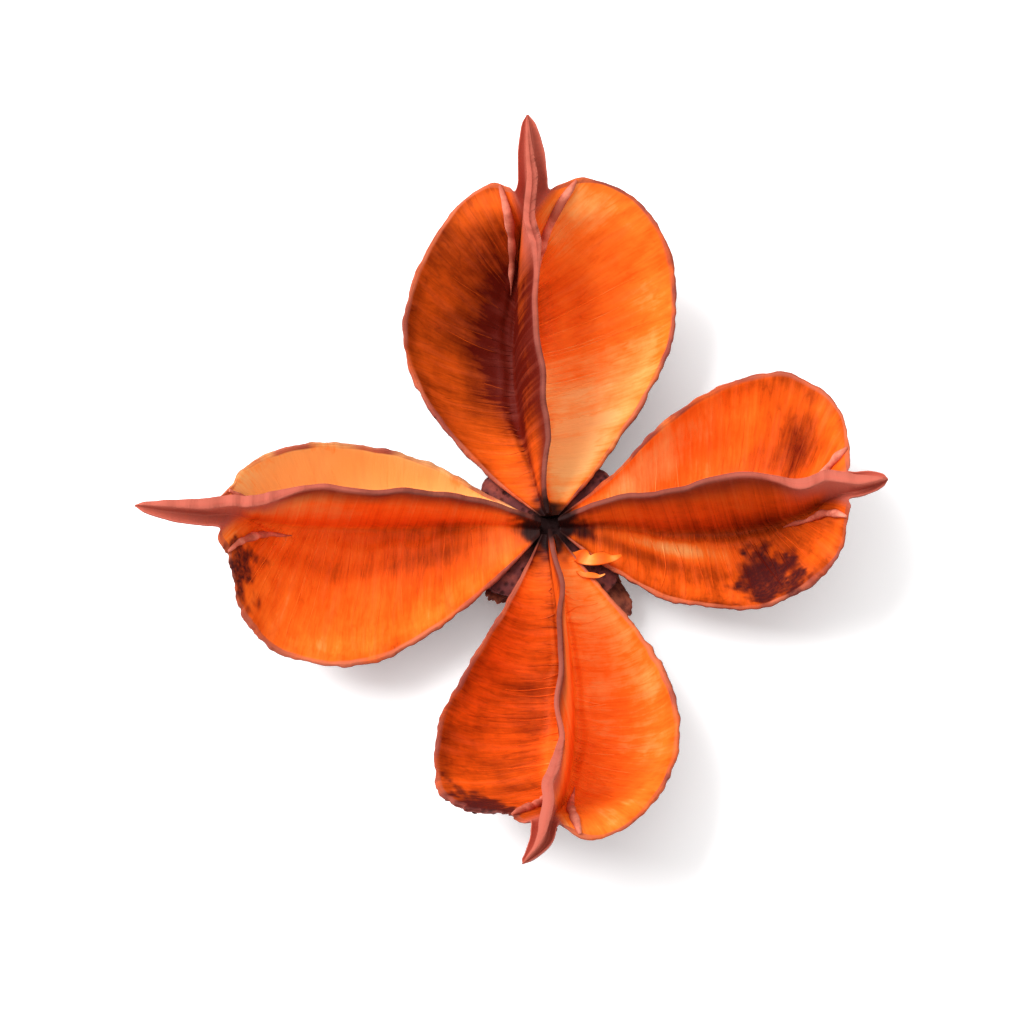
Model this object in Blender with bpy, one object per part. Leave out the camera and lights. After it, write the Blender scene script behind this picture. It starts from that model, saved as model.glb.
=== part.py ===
"""Dried, fully open cotton boll: the four-valved husk, its torn calyx and the stub of its stalk.

Metres, +Z up. The boll lies open side up on the backs of its four valves. The origin is on the
surface that it rests on, below the middle of its bounding box. East is +X and north is +Y.
"""

import math
from dataclasses import dataclass

import bmesh
import bpy
import numpy as np
from mathutils import Vector

MM = 0.001

# Where the boll's own axis stands, and how high on it the chords of the valves meet.
AXIS_EAST = 3.1 * MM
AXIS_NORTH = -0.74 * MM
CHORD_HEIGHT = 10.4 * MM
# Depth by which each rounded back is worn flat where it rests.
FLAT_CUT = 0.25 * MM

WALL = 1.0 * MM
WALL_AT_MARGIN = 0.8 * MM
WALL_AT_BEAK = 0.5 * MM
SEPTUM = 0.8 * MM
# How the wall climbs from keel to margin: 1 is a straight V, 2 is a round trough.
TROUGH = 1.8
# How far each lobe sags below the trough's own curve, two thirds of the way out.
LOBE_FULLNESS = 0.9 * MM
SAG_PEAK = 4.0 / 27.0
KEEL_DEPTH_GUESS = 11.0 * MM

ROWS = 24
WALL_COLUMNS = (0.0, 0.10, 0.26, 0.44, 0.62, 0.80, 1.0)
# The septum's outline on a row: side, share of its height and share of its half thickness.
SEPTUM_CORNERS = ((-1, 0.45, 1.0), (-1, 1.0, 0.75), (1, 1.0, 0.75), (1, 0.45, 1.0))
# Where the wall is too narrow for a whole septum, its half thickness is this share of the wall's
# width, and the wall starts this many half thicknesses from the keel.
NARROW_SEPTUM = 0.35
SEPTUM_FOOT = 1.3
# Turns, in radians from one station to the next, of the rippled margins and the wavering septum,
# and the septum's height at which it wavers fully.
RIPPLE_TURN = 3.1
WAVER_TURN = 1.7
WAVER_HEIGHT = 6.0 * MM
# A valve rolls about a line at this height from the chord, by more and more up to this far out.
ROLL_HEIGHT = -5.0 * MM
ROLL_END = 10.0 * MM


@dataclass(frozen=True)
class Station:
    """A place along half a valve, where one vein runs from the keel out to the margin.

    keel and reach are how far along the valve the vein starts and ends: 1 is the notch between
    the lobes, 2 the tip of the beak. depth is a share of the keel's depth, spread a share of the
    half width, and margin and crest are heights from the chord.
    """

    keel: float
    depth: float
    reach: float
    spread: float
    margin: float
    crest: float


STATIONS = (
    Station(0.008, 0.40, 0.008, 0.060, -4.6 * MM, -3.6 * MM),
    Station(0.165, 0.56, 0.165, 0.400, -5.7 * MM, -2.0 * MM),
    Station(0.340, 0.89, 0.370, 0.790, -5.5 * MM, -0.6 * MM),
    Station(0.490, 1.00, 0.570, 1.000, -5.2 * MM, 0.0 * MM),
    Station(0.620, 0.97, 0.780, 0.950, -4.5 * MM, 0.2 * MM),
    Station(0.730, 0.84, 0.945, 0.700, -3.2 * MM, 0.2 * MM),
    Station(0.810, 0.66, 1.020, 0.380, -2.1 * MM, 0.2 * MM),
    Station(0.880, 0.43, 0.985, 0.190, -1.5 * MM, 0.3 * MM),
    Station(0.945, 0.22, 0.975, 0.115, -1.0 * MM, 0.4 * MM),
    Station(1.450, 0.08, 1.450, 0.090, -0.4 * MM, 0.5 * MM),
    Station(2.000, 0.00, 2.000, 0.026, 0.1 * MM, 0.3 * MM),
)
LAST_STATION = len(STATIONS) - 1.0
# Reach at which a lobe is as wide as its width says.
MIDDLE_REACH = 0.57
# Spread at the notch between the lobes, and how much more of it a lobe needs to take its own form.
NOTCH_SPREAD = 0.10
LOBE_SPREAD = 0.30
# Stations at which the foot ends, the wall folds into the notch, and the beak starts and is thin.
FOOT_END = 1.0
NOTCH_START = 4.5
NOTCH_END = 6.5
BEAK_START = 7.0
BEAK_END = 10.0


@dataclass(frozen=True)
class Lobe:
    """Half of a valve: how wide it is at its middle and how its outline grew.

    length is a share of the valve's own. club is how fast the lobe widens towards its tip, as a
    share of its width over the whole length.
    """

    width: float
    length: float = 1.0
    club: float = 0.0


@dataclass(frozen=True)
class Valve:
    """One quarter of the husk, by where it points and how it grew.

    left and right are its lobes, as seen from above looking from the boll's axis to the tip.
    bearing, rise and roll are degrees: rise lifts the tip and roll lifts the left lobe. sway bows
    the whole valve to the left, and lean bows the septum's crest to the left of its foot.
    """

    bearing: float
    length: float
    beak: float
    left: Lobe
    right: Lobe
    rise: float = 8.0
    roll: float = 0.0
    sway: float = 0.0
    lean: float = 0.0
    hook: float = 0.0
    ripple: float = 0.3 * MM
    waver: float = 0.2 * MM
    phase: float = 0.0


EAST_VALVE = Valve(
    bearing=2.0,
    length=25.2 * MM,
    beak=2.6 * MM,
    left=Lobe(10.2 * MM, length=0.97, club=0.5),
    right=Lobe(9.2 * MM, length=0.95, club=-0.3),
    sway=1.1 * MM,
    ripple=0.5 * MM,
    waver=0.5 * MM,
    phase=0.6,
)
NORTH_VALVE = Valve(
    bearing=93.2,
    length=28.0 * MM,
    beak=5.4 * MM,
    left=Lobe(9.4 * MM, club=-0.25),
    right=Lobe(12.8 * MM),
    sway=1.6 * MM,
    lean=-1.6 * MM,
    phase=2.1,
)
WEST_VALVE = Valve(
    bearing=181.5,
    length=28.0 * MM,
    beak=6.0 * MM,
    left=Lobe(13.4 * MM, length=0.93, club=-0.15),
    right=Lobe(5.0 * MM, length=0.92),
    rise=7.0,
    roll=-5.0,
    sway=-1.7 * MM,
    phase=3.3,
)
SOUTH_VALVE = Valve(
    bearing=269.5,
    length=28.6 * MM,
    beak=3.2 * MM,
    left=Lobe(8.9 * MM, club=0.15),
    right=Lobe(9.7 * MM, length=0.92, club=0.4),
    rise=7.0,
    roll=4.0,
    sway=1.4 * MM,
    hook=-1.6 * MM,
    phase=5.0,
)
VALVES = (EAST_VALVE, NORTH_VALVE, WEST_VALVE, SOUTH_VALVE)

# Cup that joins the feet of the valves: points down its inside and back under its outside, in
# millimetres, as radius and height from the chord under a keel, then between two valves.
CUP = (
    (0.0, -4.8, 0.0, -4.8),
    (1.6, -5.0, 1.8, -4.9),
    (3.2, -5.5, 4.4, -5.1),
    (4.4, -6.0, 6.6, -5.3),
    (5.0, -6.3, 7.1, -5.8),
    (4.7, -6.9, 6.4, -6.4),
    (3.0, -7.1, 3.4, -6.9),
    (0.0, -7.1, 0.0, -7.1),
)
CUP_SIDES = 40

# The calyx, a thin frill that starts at a collar round the end of the stalk and stands off the
# husk, furthest out between the valves. Slopes and bearings are degrees, slopes below level.
COLLAR_RADIUS = 2.7 * MM
FRILL_TOP = CHORD_HEIGHT - 7.8 * MM
FRILL_REACH = 2.6 * MM
FRILL_IN_GAPS = 4.2 * MM
LONGEST_SEPAL = 315.0
SEPAL_WIDTH = 12.6
SEPAL_EXTRA = 2.6 * MM
FRILL_SLOPE_AT_COLLAR = 12.0
FRILL_SLOPE_AT_EDGE = 30.0
FRILL_SLOPE_IN_GAPS = 6.0
FRILL_THICKNESS = 0.65 * MM
FRILL_SIDES = 64
FRILL_ROWS = 4
# Waves round the frill, as height, number round it and phase in radians: tears of its edge, and
# folds of its wall.
FRILL_TEARS = ((0.28 * MM, 5, 0.8), (0.18 * MM, 11, 2.0))
FRILL_FOLDS = ((0.30 * MM, 7, 0.5), (0.18 * MM, 13, 0.0))

# The stalk's end and stub, as radius, height from the chord and sideways bend in millimetres.
STALK = (
    (0.0, -7.4, 0.0),
    (1.9, -7.4, 0.0),
    (2.3, -7.6, 0.0),
    (2.2, -8.0, 0.0),
    (1.7, -8.5, 0.05),
    (1.45, -9.0, 0.15),
    (1.4, -9.5, 0.3),
    (1.3, -9.8, 0.4),
    (0.0, -9.6, 0.4),
)
STALK_SIDES = 20
STALK_RIBS = 5
STALK_RIB_SHARE = 0.05
BEND_BEARING = -31.0
BROKEN_END = 0.25 * MM


def eased(values, start, end):
    """0 up to start, 1 from end on, and a smooth step between them."""
    share = np.clip((values - start) / (end - start), 0.0, 1.0)
    return share * share * (3.0 - 2.0 * share)


def through(values, places):
    """Reads a smooth curve, which passes through one value at each station, at the places."""
    values = np.asarray(values, float)
    last = len(values) - 1
    start = np.minimum(places.astype(int), last - 1)
    part = places - start
    before = values[np.maximum(start - 1, 0)]
    first = values[start]
    second = values[start + 1]
    after = values[np.minimum(start + 2, last)]
    cubic = 3.0 * (first - second) + after - before
    square = 2.0 * before - 5.0 * first + 4.0 * second - after
    return first + 0.5 * part * (second - before + part * (square + part * cubic))


def along(valve, share):
    """Distance from the boll's axis for a share along the valve: 1 is the notch, 2 the beak's tip."""
    return valve.length * min(share, 1.0) + valve.beak * max(share - 1.0, 0.0)


def keel_line(valve, depth, places):
    """Points of the valve's inner keel at the places along it."""
    x = through([along(valve, s.keel) for s in STATIONS], places)
    z = through([-s.depth * depth for s in STATIONS], places)
    return np.stack([x, np.zeros_like(x), z], axis=1)


def keel_height(valve, depth, x):
    """Height of the inner keel at these distances along the valve."""
    line = keel_line(valve, depth, np.linspace(0.0, LAST_STATION, 200))
    return np.interp(x, line[:, 0], line[:, 2])


def margin_line(valve, side, places):
    """Points of the inner margin of one lobe: side is 1 for the left one and -1 for the right one."""
    lobe = valve.left if side > 0 else valve.right
    reaches = []
    spreads = []
    for station in STATIONS:
        past_notch = min(max((station.spread - NOTCH_SPREAD) / LOBE_SPREAD, 0.0), 1.0)
        stretch = past_notch * (lobe.length - 1.0) * station.reach**4
        widening = past_notch * lobe.club * (station.reach - MIDDLE_REACH)
        reaches.append(along(valve, station.reach) + valve.length * stretch)
        spreads.append(station.spread * (1.0 + widening))
    spread = through(spreads, places)
    height = through([s.margin for s in STATIONS], places)
    height = height + valve.ripple * spread * np.sin(RIPPLE_TURN * places + valve.phase + side)
    return np.stack([through(reaches, places), side * lobe.width * spread, height], axis=1)


def wall_grid(valve, depth, places):
    """Inner face of the wall, without its septum, as rows by columns from right margin to left.

    Returns the grid of points and the half thickness of the septum on each row.
    """
    keel = keel_line(valve, depth, places)[:, None, :]
    fullness = LOBE_FULLNESS * through([s.spread for s in STATIONS], places)[:, None]
    halves = []
    for side in (-1, 1):
        margin = margin_line(valve, side, places)[:, None, :]
        width = np.linalg.norm((margin - keel)[:, :, :2], axis=2)
        half_septum = np.minimum(0.5 * SEPTUM, NARROW_SEPTUM * width)
        foot = SEPTUM_FOOT * half_septum / width
        share = foot + (1.0 - foot) * np.array(WALL_COLUMNS)[None, :]
        points = keel + (margin - keel) * share[:, :, None]
        low = keel_height(valve, depth, points[:, :, 0])
        points[:, :, 2] = low + (margin[:, :, 2] - low) * share**TROUGH
        points[:, :, 2] -= fullness * share**2 * (1.0 - share) / SAG_PEAK
        halves.append(points)
    grid = np.concatenate([halves[0][:, ::-1], keel, halves[1]], axis=1)
    return grid, half_septum[:, 0]


def facing_in(grid):
    """Unit directions that stand on the grid of points, towards the hollow side of the wall."""
    normal = np.cross(np.gradient(grid, axis=0), np.gradient(grid, axis=1))
    return normal / np.linalg.norm(normal, axis=2, keepdims=True)


def outer_face(grid, places):
    """The wall's outer face: the wall's thickness square to the inner one, and straight below it
    at the foot and round the notch, where the wall folds too tightly for that."""
    columns = len(WALL_COLUMNS)
    shares = np.abs(np.linspace(-1.0, 1.0, 2 * columns + 1))
    thickness = WALL + (WALL_AT_MARGIN - WALL) * shares[None, :] ** 2
    to_beak = eased(places, BEAK_START, BEAK_END)[:, None]
    thickness = thickness + (WALL_AT_BEAK - thickness) * to_beak
    fold = 1.0 - eased(places, 0.0, FOOT_END) + eased(places, NOTCH_START, NOTCH_END)
    fold = fold[:, None, None]
    direction = facing_in(grid) * (1.0 - fold) + np.array([0.0, 0.0, 1.0]) * fold
    direction /= np.linalg.norm(direction, axis=2, keepdims=True)
    return grid - direction * thickness[:, :, None]


def bow(amount, valve, x):
    """Sideways bow of this amount halfway along the valve, at these distances along it."""
    return amount * np.sin(math.pi * np.clip(x / valve.length, 0.0, 1.0))


def septum_columns(valve, keel, half_septum, places):
    """Points of the septum on each row: its right side from foot to crest, then its left side."""
    height = through([s.crest for s in STATIONS], places) - keel[:, 2]
    aside = valve.waver * np.sin(WAVER_TURN * places + valve.phase) + bow(valve.lean, valve, keel[:, 0])
    aside = aside * np.minimum(height / WAVER_HEIGHT, 1.0)
    columns = []
    for side, climb, thick in SEPTUM_CORNERS:
        column = keel.copy()
        column[:, 1] += side * half_septum * thick + aside * climb**2
        column[:, 2] += height * climb
        columns.append(column)
    return columns


def sections(valve, depth):
    """Closed outlines across the valve, in its own frame, as rows by points.

    Returns them and the number of points that each has on the inside of the valve.
    """
    places = np.linspace(0.0, LAST_STATION, ROWS + 1)
    grid, half_septum = wall_grid(valve, depth, places)
    outer = outer_face(grid, places)
    middle = grid.shape[1] // 2
    inner = [grid[:, j] for j in range(middle)]
    inner += septum_columns(valve, grid[:, middle], half_septum, places)
    inner += [grid[:, j] for j in range(middle + 1, grid.shape[1])]
    under = [outer[:, j] for j in range(grid.shape[1] - 1, -1, -1)]
    loops = np.stack(inner + under, axis=1)
    loops[0, :, 0] = grid[0, middle, 0]
    loops[-1, :, 0] = grid[-1, middle, 0]
    return loops, len(inner)


def turned(first, second, angle):
    """The two coordinates of points turned by an angle in radians, from the first to the second."""
    cosine, sine = np.cos(angle), np.sin(angle)
    return first * cosine - second * sine, first * sine + second * cosine


def placed(valve, points):
    """The valve's points turned and moved to where the valve lies in the boll."""
    x, y, z = np.moveaxis(points, -1, 0)
    y = y + bow(valve.sway, valve, x)
    y = y + valve.hook * np.clip((x - valve.length) / valve.beak, 0.0, 1.0) ** 2
    roll = math.radians(valve.roll) * eased(x, 0.0, ROLL_END)
    y, z = turned(y, z - ROLL_HEIGHT, roll)
    x, z = turned(x, z + ROLL_HEIGHT, math.radians(valve.rise))
    x, y = turned(x, y, math.radians(valve.bearing))
    return np.stack([x + AXIS_EAST, y + AXIS_NORTH, z + CHORD_HEIGHT], axis=-1)


def settled_depth(valve):
    """Keel depth at which the valve's back reaches the surface and is worn flat by FLAT_CUT."""
    depth = KEEL_DEPTH_GUESS
    for _ in range(4):
        lowest = placed(valve, sections(valve, depth)[0])[:, :, 2].min()
        depth += lowest + FLAT_CUT
    return depth


def tube_faces(rows, around, inner_count):
    """Triangles of a skin over the rows of closed outlines, split alike on both sides of the wall."""
    faces = []
    for i in range(rows - 1):
        for j in range(around):
            k = (j + 1) % around
            a, b = i * around + j, i * around + k
            c, d = (i + 1) * around + k, (i + 1) * around + j
            if j < inner_count:
                faces += [(a, b, c), (a, c, d)]
            else:
                faces += [(a, b, d), (b, c, d)]
    return faces


def mesh_object(name, points, faces):
    """An object with this mesh, in triangles that face outwards."""
    mesh = bpy.data.meshes.new(name)
    mesh.from_pydata([tuple(map(float, p)) for p in points], [], faces)
    solid = bmesh.new()
    solid.from_mesh(mesh)
    bmesh.ops.triangulate(solid, faces=[f for f in solid.faces if len(f.verts) > 3])
    bmesh.ops.recalc_face_normals(solid, faces=solid.faces)
    solid.to_mesh(mesh)
    solid.free()
    obj = bpy.data.objects.new(name, mesh)
    bpy.context.scene.collection.objects.link(obj)
    return obj


def finish(name, colour, roughness):
    """A plain material for one organ of the boll."""
    material = bpy.data.materials.new(name)
    material.use_nodes = True
    shader = material.node_tree.nodes["Principled BSDF"]
    shader.inputs["Base Color"].default_value = (*colour, 1.0)
    shader.inputs["Roughness"].default_value = roughness
    shader.inputs["Metallic"].default_value = 0.0
    return material


def dress(obj, material):
    """Gives the object its material and shades it smooth up to sharp edges."""
    obj.data.materials.clear()
    obj.data.materials.append(material)
    obj.data.shade_smooth()
    obj.data.set_sharp_from_angle(angle=math.radians(40.0))


def round_axis(radius, angle, height):
    """A point by its distance and direction from the boll's axis and its height from the chord."""
    east = AXIS_EAST + radius * math.cos(angle)
    north = AXIS_NORTH + radius * math.sin(angle)
    return Vector((east, north, CHORD_HEIGHT + height))


def between_valves(angle):
    """0 over a valve's keel and 1 halfway to the next valve, for an angle in radians."""
    bearings = [valve.bearing for valve in VALVES]
    for start, end in zip(bearings, bearings[1:] + [bearings[0] + 360.0]):
        past = (math.degrees(angle) - start) % 360.0
        if past < end - start:
            return 0.5 - 0.5 * math.cos(2.0 * math.pi * past / (end - start))
    return 0.0


def ring_angles(sides):
    """Angles in radians of points evenly round the boll's axis."""
    return [2.0 * math.pi * k / sides for k in range(sides)]


def lathed(name, top, rings, bottom):
    """A solid round the boll's axis, skinned over rings of points between a top and a bottom point."""
    sides = len(rings[0])
    last = 2 + (len(rings) - 1) * sides
    points = [top, bottom] + [point for ring in rings for point in ring]
    faces = []
    for k in range(sides):
        n = (k + 1) % sides
        faces += [(0, 2 + k, 2 + n), (1, last + n, last + k)]
        for upper in range(2, last, sides):
            lower = upper + sides
            faces.append((upper + k, lower + k, lower + n, upper + n))
    return mesh_object(name, points, faces)


def valve_object(valve, name):
    """One valve with its septum and beak, as a closed mesh."""
    loops, inner_count = sections(valve, settled_depth(valve))
    points = placed(valve, loops)
    points[:, :, 2] = np.maximum(points[:, :, 2], 0.0)
    rows, around = points.shape[:2]
    faces = tube_faces(rows, around, inner_count)
    faces.append(tuple(range(around - 1, -1, -1)))
    faces.append(tuple(range((rows - 1) * around, rows * around)))
    return mesh_object(name, points.reshape(-1, 3), faces)


def cup_object():
    """The cup that the four valves grow from, drawn out into the angles between them."""
    rings = []
    for keel_radius, under_keel, gap_radius, in_gap in CUP[1:-1]:
        ring = []
        for angle in ring_angles(CUP_SIDES):
            gap = between_valves(angle)
            radius = keel_radius + (gap_radius - keel_radius) * gap
            height = under_keel + (in_gap - under_keel) * gap
            ring.append(round_axis(radius * MM, angle, height * MM))
        rings.append(ring)
    top = round_axis(0.0, 0.0, CUP[0][1] * MM)
    bottom = round_axis(0.0, 0.0, CUP[-1][1] * MM)
    return lathed("cup", top, rings, bottom)


def joined(name, pieces):
    """One solid made of the pieces by a Boolean union on a collection, which is then emptied."""
    first, others = pieces[0], pieces[1:]
    group = bpy.data.collections.new(name + " pieces")
    for piece in others:
        group.objects.link(piece)
    union = first.modifiers.new("Join", "BOOLEAN")
    union.operation = "UNION"
    union.operand_type = "COLLECTION"
    union.collection = group
    union.solver = "EXACT"
    bpy.context.view_layer.update()
    graph = bpy.context.evaluated_depsgraph_get()
    mesh = bpy.data.meshes.new_from_object(first.evaluated_get(graph))
    obj = bpy.data.objects.new(name, mesh)
    for piece in pieces:
        bpy.data.objects.remove(piece)
    bpy.data.collections.remove(group)
    bpy.context.scene.collection.objects.link(obj)
    return obj


def make_capsule():
    """The husk: four valves grown together on a shallow cup."""
    pieces = [cup_object()]
    pieces += [valve_object(valve, f"valve {k}") for k, valve in enumerate(VALVES)]
    capsule = joined("capsule", pieces)
    dress(capsule, finish("capsule", (0.66, 0.15, 0.03), 0.55))


def waves(angle, terms):
    """Sum of waves round the boll, each with a height, a number round it and a phase in radians."""
    return sum(height * math.sin(number * angle + phase) for height, number, phase in terms)


def frill_reach(angle):
    """How far the calyx's torn edge stands out from its collar, for an angle in radians."""
    gap = between_valves(angle)
    off_longest = math.remainder(math.degrees(angle) - LONGEST_SEPAL, 360.0)
    longest = SEPAL_EXTRA * math.exp(-((off_longest / SEPAL_WIDTH) ** 2))
    whole = FRILL_REACH + (FRILL_IN_GAPS - FRILL_REACH) * gap
    return whole + waves(angle, FRILL_TEARS) + longest


def frill_point(angle, share):
    """Middle of the calyx's papery wall at a share of the way from its collar to its torn edge."""
    reach = frill_reach(angle) * share
    fold = share * waves(angle, FRILL_FOLDS)
    gap = between_valves(angle)
    at_edge = FRILL_SLOPE_AT_EDGE + (FRILL_SLOPE_IN_GAPS - FRILL_SLOPE_AT_EDGE) * gap
    slope = math.radians(FRILL_SLOPE_AT_COLLAR + (at_edge - FRILL_SLOPE_AT_COLLAR) * share)
    radius = COLLAR_RADIUS + reach * math.cos(slope) + fold * math.sin(slope)
    height = FRILL_TOP - CHORD_HEIGHT - reach * math.sin(slope) + fold * math.cos(slope)
    return round_axis(radius, angle, height)


def make_calyx():
    """The dry calyx: one thin, folded and torn frill round the foot of the husk."""
    nudge = 0.01
    points = []
    for angle in ring_angles(FRILL_SIDES):
        for share in np.linspace(0.0, 1.0, FRILL_ROWS + 1):
            here = frill_point(angle, share)
            onward = frill_point(angle + nudge, share) - frill_point(angle - nudge, share)
            outward = frill_point(angle, share + nudge) - frill_point(angle, share - nudge)
            half_wall = outward.cross(onward).normalized() * (0.5 * FRILL_THICKNESS)
            points += [here + half_wall, here - half_wall]
    faces = []
    row = 2 * (FRILL_ROWS + 1)
    for k in range(FRILL_SIDES):
        here, following = k * row, (k + 1) % FRILL_SIDES * row
        for i in range(0, row - 2, 2):
            for face in (i, i + 1):
                a, b = here + face, here + face + 2
                c, d = following + face + 2, following + face
                faces += [(a, b, c), (a, c, d)]
        for edge in (0, row - 2):
            faces.append((here + edge, here + edge + 1, following + edge + 1, following + edge))
    calyx = mesh_object("calyx", points, faces)
    dress(calyx, finish("calyx", (0.45, 0.12, 0.06), 0.8))


def stalk_point(radius, height, bend, angle=0.0):
    """A point on the stalk, which bends towards BEND_BEARING as it leaves the calyx."""
    aside = Vector((1.0, math.tan(math.radians(BEND_BEARING)), 0.0)) * (bend * MM)
    ribbed = radius * (1.0 + STALK_RIB_SHARE * math.sin(STALK_RIBS * angle))
    return round_axis(ribbed * MM, angle, height * MM) + aside


def make_stalk():
    """The swollen end of the stalk and the stub below it, with an uneven broken end."""
    angles = ring_angles(STALK_SIDES)
    rings = [[stalk_point(*place, angle) for angle in angles] for place in STALK[1:-1]]
    for point, angle in zip(rings[-1], angles):
        point.z += BROKEN_END * math.sin(2.0 * angle + 1.0)
    stalk = lathed("stalk", stalk_point(*STALK[0]), rings, stalk_point(*STALK[-1]))
    dress(stalk, finish("stalk", (0.25, 0.08, 0.05), 0.75))


def main():
    for obj in list(bpy.data.objects):
        bpy.data.objects.remove(obj)
    make_capsule()
    make_calyx()
    make_stalk()


main()
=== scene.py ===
"""Looks of a dried, fully open cotton boll: fine skins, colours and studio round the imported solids.

Metres, +Z up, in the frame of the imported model. The boll lies open side up on the backs of its
four valves. East is +X and north is +Y.
"""

from __future__ import annotations

import logging
import math
from dataclasses import dataclass, field
from enum import Enum

import bpy
import numpy as np
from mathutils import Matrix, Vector, noise

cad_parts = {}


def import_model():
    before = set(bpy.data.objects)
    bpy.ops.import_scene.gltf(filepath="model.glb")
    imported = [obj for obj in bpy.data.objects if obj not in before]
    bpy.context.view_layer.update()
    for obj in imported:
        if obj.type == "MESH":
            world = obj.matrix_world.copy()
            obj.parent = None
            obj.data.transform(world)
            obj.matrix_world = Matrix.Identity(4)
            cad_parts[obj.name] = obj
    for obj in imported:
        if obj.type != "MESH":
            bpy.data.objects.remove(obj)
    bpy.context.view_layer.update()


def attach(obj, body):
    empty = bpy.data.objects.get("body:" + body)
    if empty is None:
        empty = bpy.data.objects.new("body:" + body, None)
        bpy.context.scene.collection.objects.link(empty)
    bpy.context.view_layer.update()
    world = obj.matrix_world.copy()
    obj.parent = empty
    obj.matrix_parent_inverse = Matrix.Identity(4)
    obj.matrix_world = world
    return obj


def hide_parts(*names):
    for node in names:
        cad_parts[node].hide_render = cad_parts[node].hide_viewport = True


MM = 0.001
BODY = "root"
LOG = logging.getLogger("cotton_boll")

Array = np.ndarray
Colour = tuple[float, float, float]


class Side(Enum):
    """A lobe of a valve, seen from above looking from the boll's axis to the tip."""

    LEFT = 1
    RIGHT = -1


@dataclass(frozen=True)
class Axis:
    """Where the boll's own axis stands, and how high on it the chords of the valves meet."""

    east: float = 3.1 * MM
    north: float = -0.74 * MM
    chord: float = 10.4 * MM

    def round_point(self, radius: Array, angle: Array, height: Array) -> Array:
        """Points by their distance and direction from the axis and their height from the chord.

        Args:
            radius: Distances from the axis.
            angle: Directions in radians, counted from east towards north.
            height: Heights from the chord.

        Returns:
            Points in the row frame, in the last axis of the array.
        """
        east = self.east + radius * np.cos(angle)
        north = self.north + radius * np.sin(angle)
        return np.stack(np.broadcast_arrays(east, north, self.chord + height), axis=-1)


AXIS = Axis()


def eased(values: Array, start: float, end: float) -> Array:
    """A smooth step.

    Args:
        values: Numbers to step over.
        start: Where the step leaves 0.
        end: Where the step reaches 1.

    Returns:
        0 up to start, 1 from end on, and smooth between them.
    """
    share = np.clip((values - start) / (end - start), 0.0, 1.0)
    return share * share * (3.0 - 2.0 * share)


def through(values: list[float] | Array, places: Array) -> Array:
    """Reads a smooth curve that passes through one value at each station.

    Args:
        values: One number for each station.
        places: Places to read, counted in stations.

    Returns:
        The curve's value at each place.
    """
    values = np.asarray(values, float)
    last = len(values) - 1
    start = np.minimum(places.astype(int), last - 1)
    part = places - start
    before = values[np.maximum(start - 1, 0)]
    first = values[start]
    second = values[start + 1]
    after = values[np.minimum(start + 2, last)]
    cubic = 3.0 * (first - second) + after - before
    square = 2.0 * before - 5.0 * first + 4.0 * second - after
    return first + 0.5 * part * (second - before + part * (square + part * cubic))


def turned(first: Array, second: Array, angle: Array | float) -> tuple[Array, Array]:
    """Turns points in the plane of two of their coordinates.

    Args:
        first: The coordinate turned from.
        second: The coordinate turned towards.
        angle: Radians.

    Returns:
        Both coordinates after the turn.
    """
    cosine, sine = np.cos(angle), np.sin(angle)
    return first * cosine - second * sine, first * sine + second * cosine


def grain(points: Array, size: float, seed: float = 0.0) -> Array:
    """Smooth random relief over points, always the same for the same points.

    Args:
        points: Points in their last axis.
        size: Distance over which the relief changes.
        seed: Shift that gives another relief.

    Returns:
        Numbers from about -1 to 1, one for each point.
    """
    flat = points.reshape(-1, 3) / size + seed
    found = [noise.noise(Vector(p)) for p in flat.tolist()]
    return np.array(found).reshape(points.shape[:-1])


def facing(grid: Array) -> Array:
    """Unit directions that stand on a grid of points.

    Args:
        grid: Rows by columns of points.

    Returns:
        One direction for each point, square to its rows and columns.
    """
    normal = np.cross(np.gradient(grid, axis=0), np.gradient(grid, axis=1))
    return normal / np.maximum(np.linalg.norm(normal, axis=2, keepdims=True), 1e-12)


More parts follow.
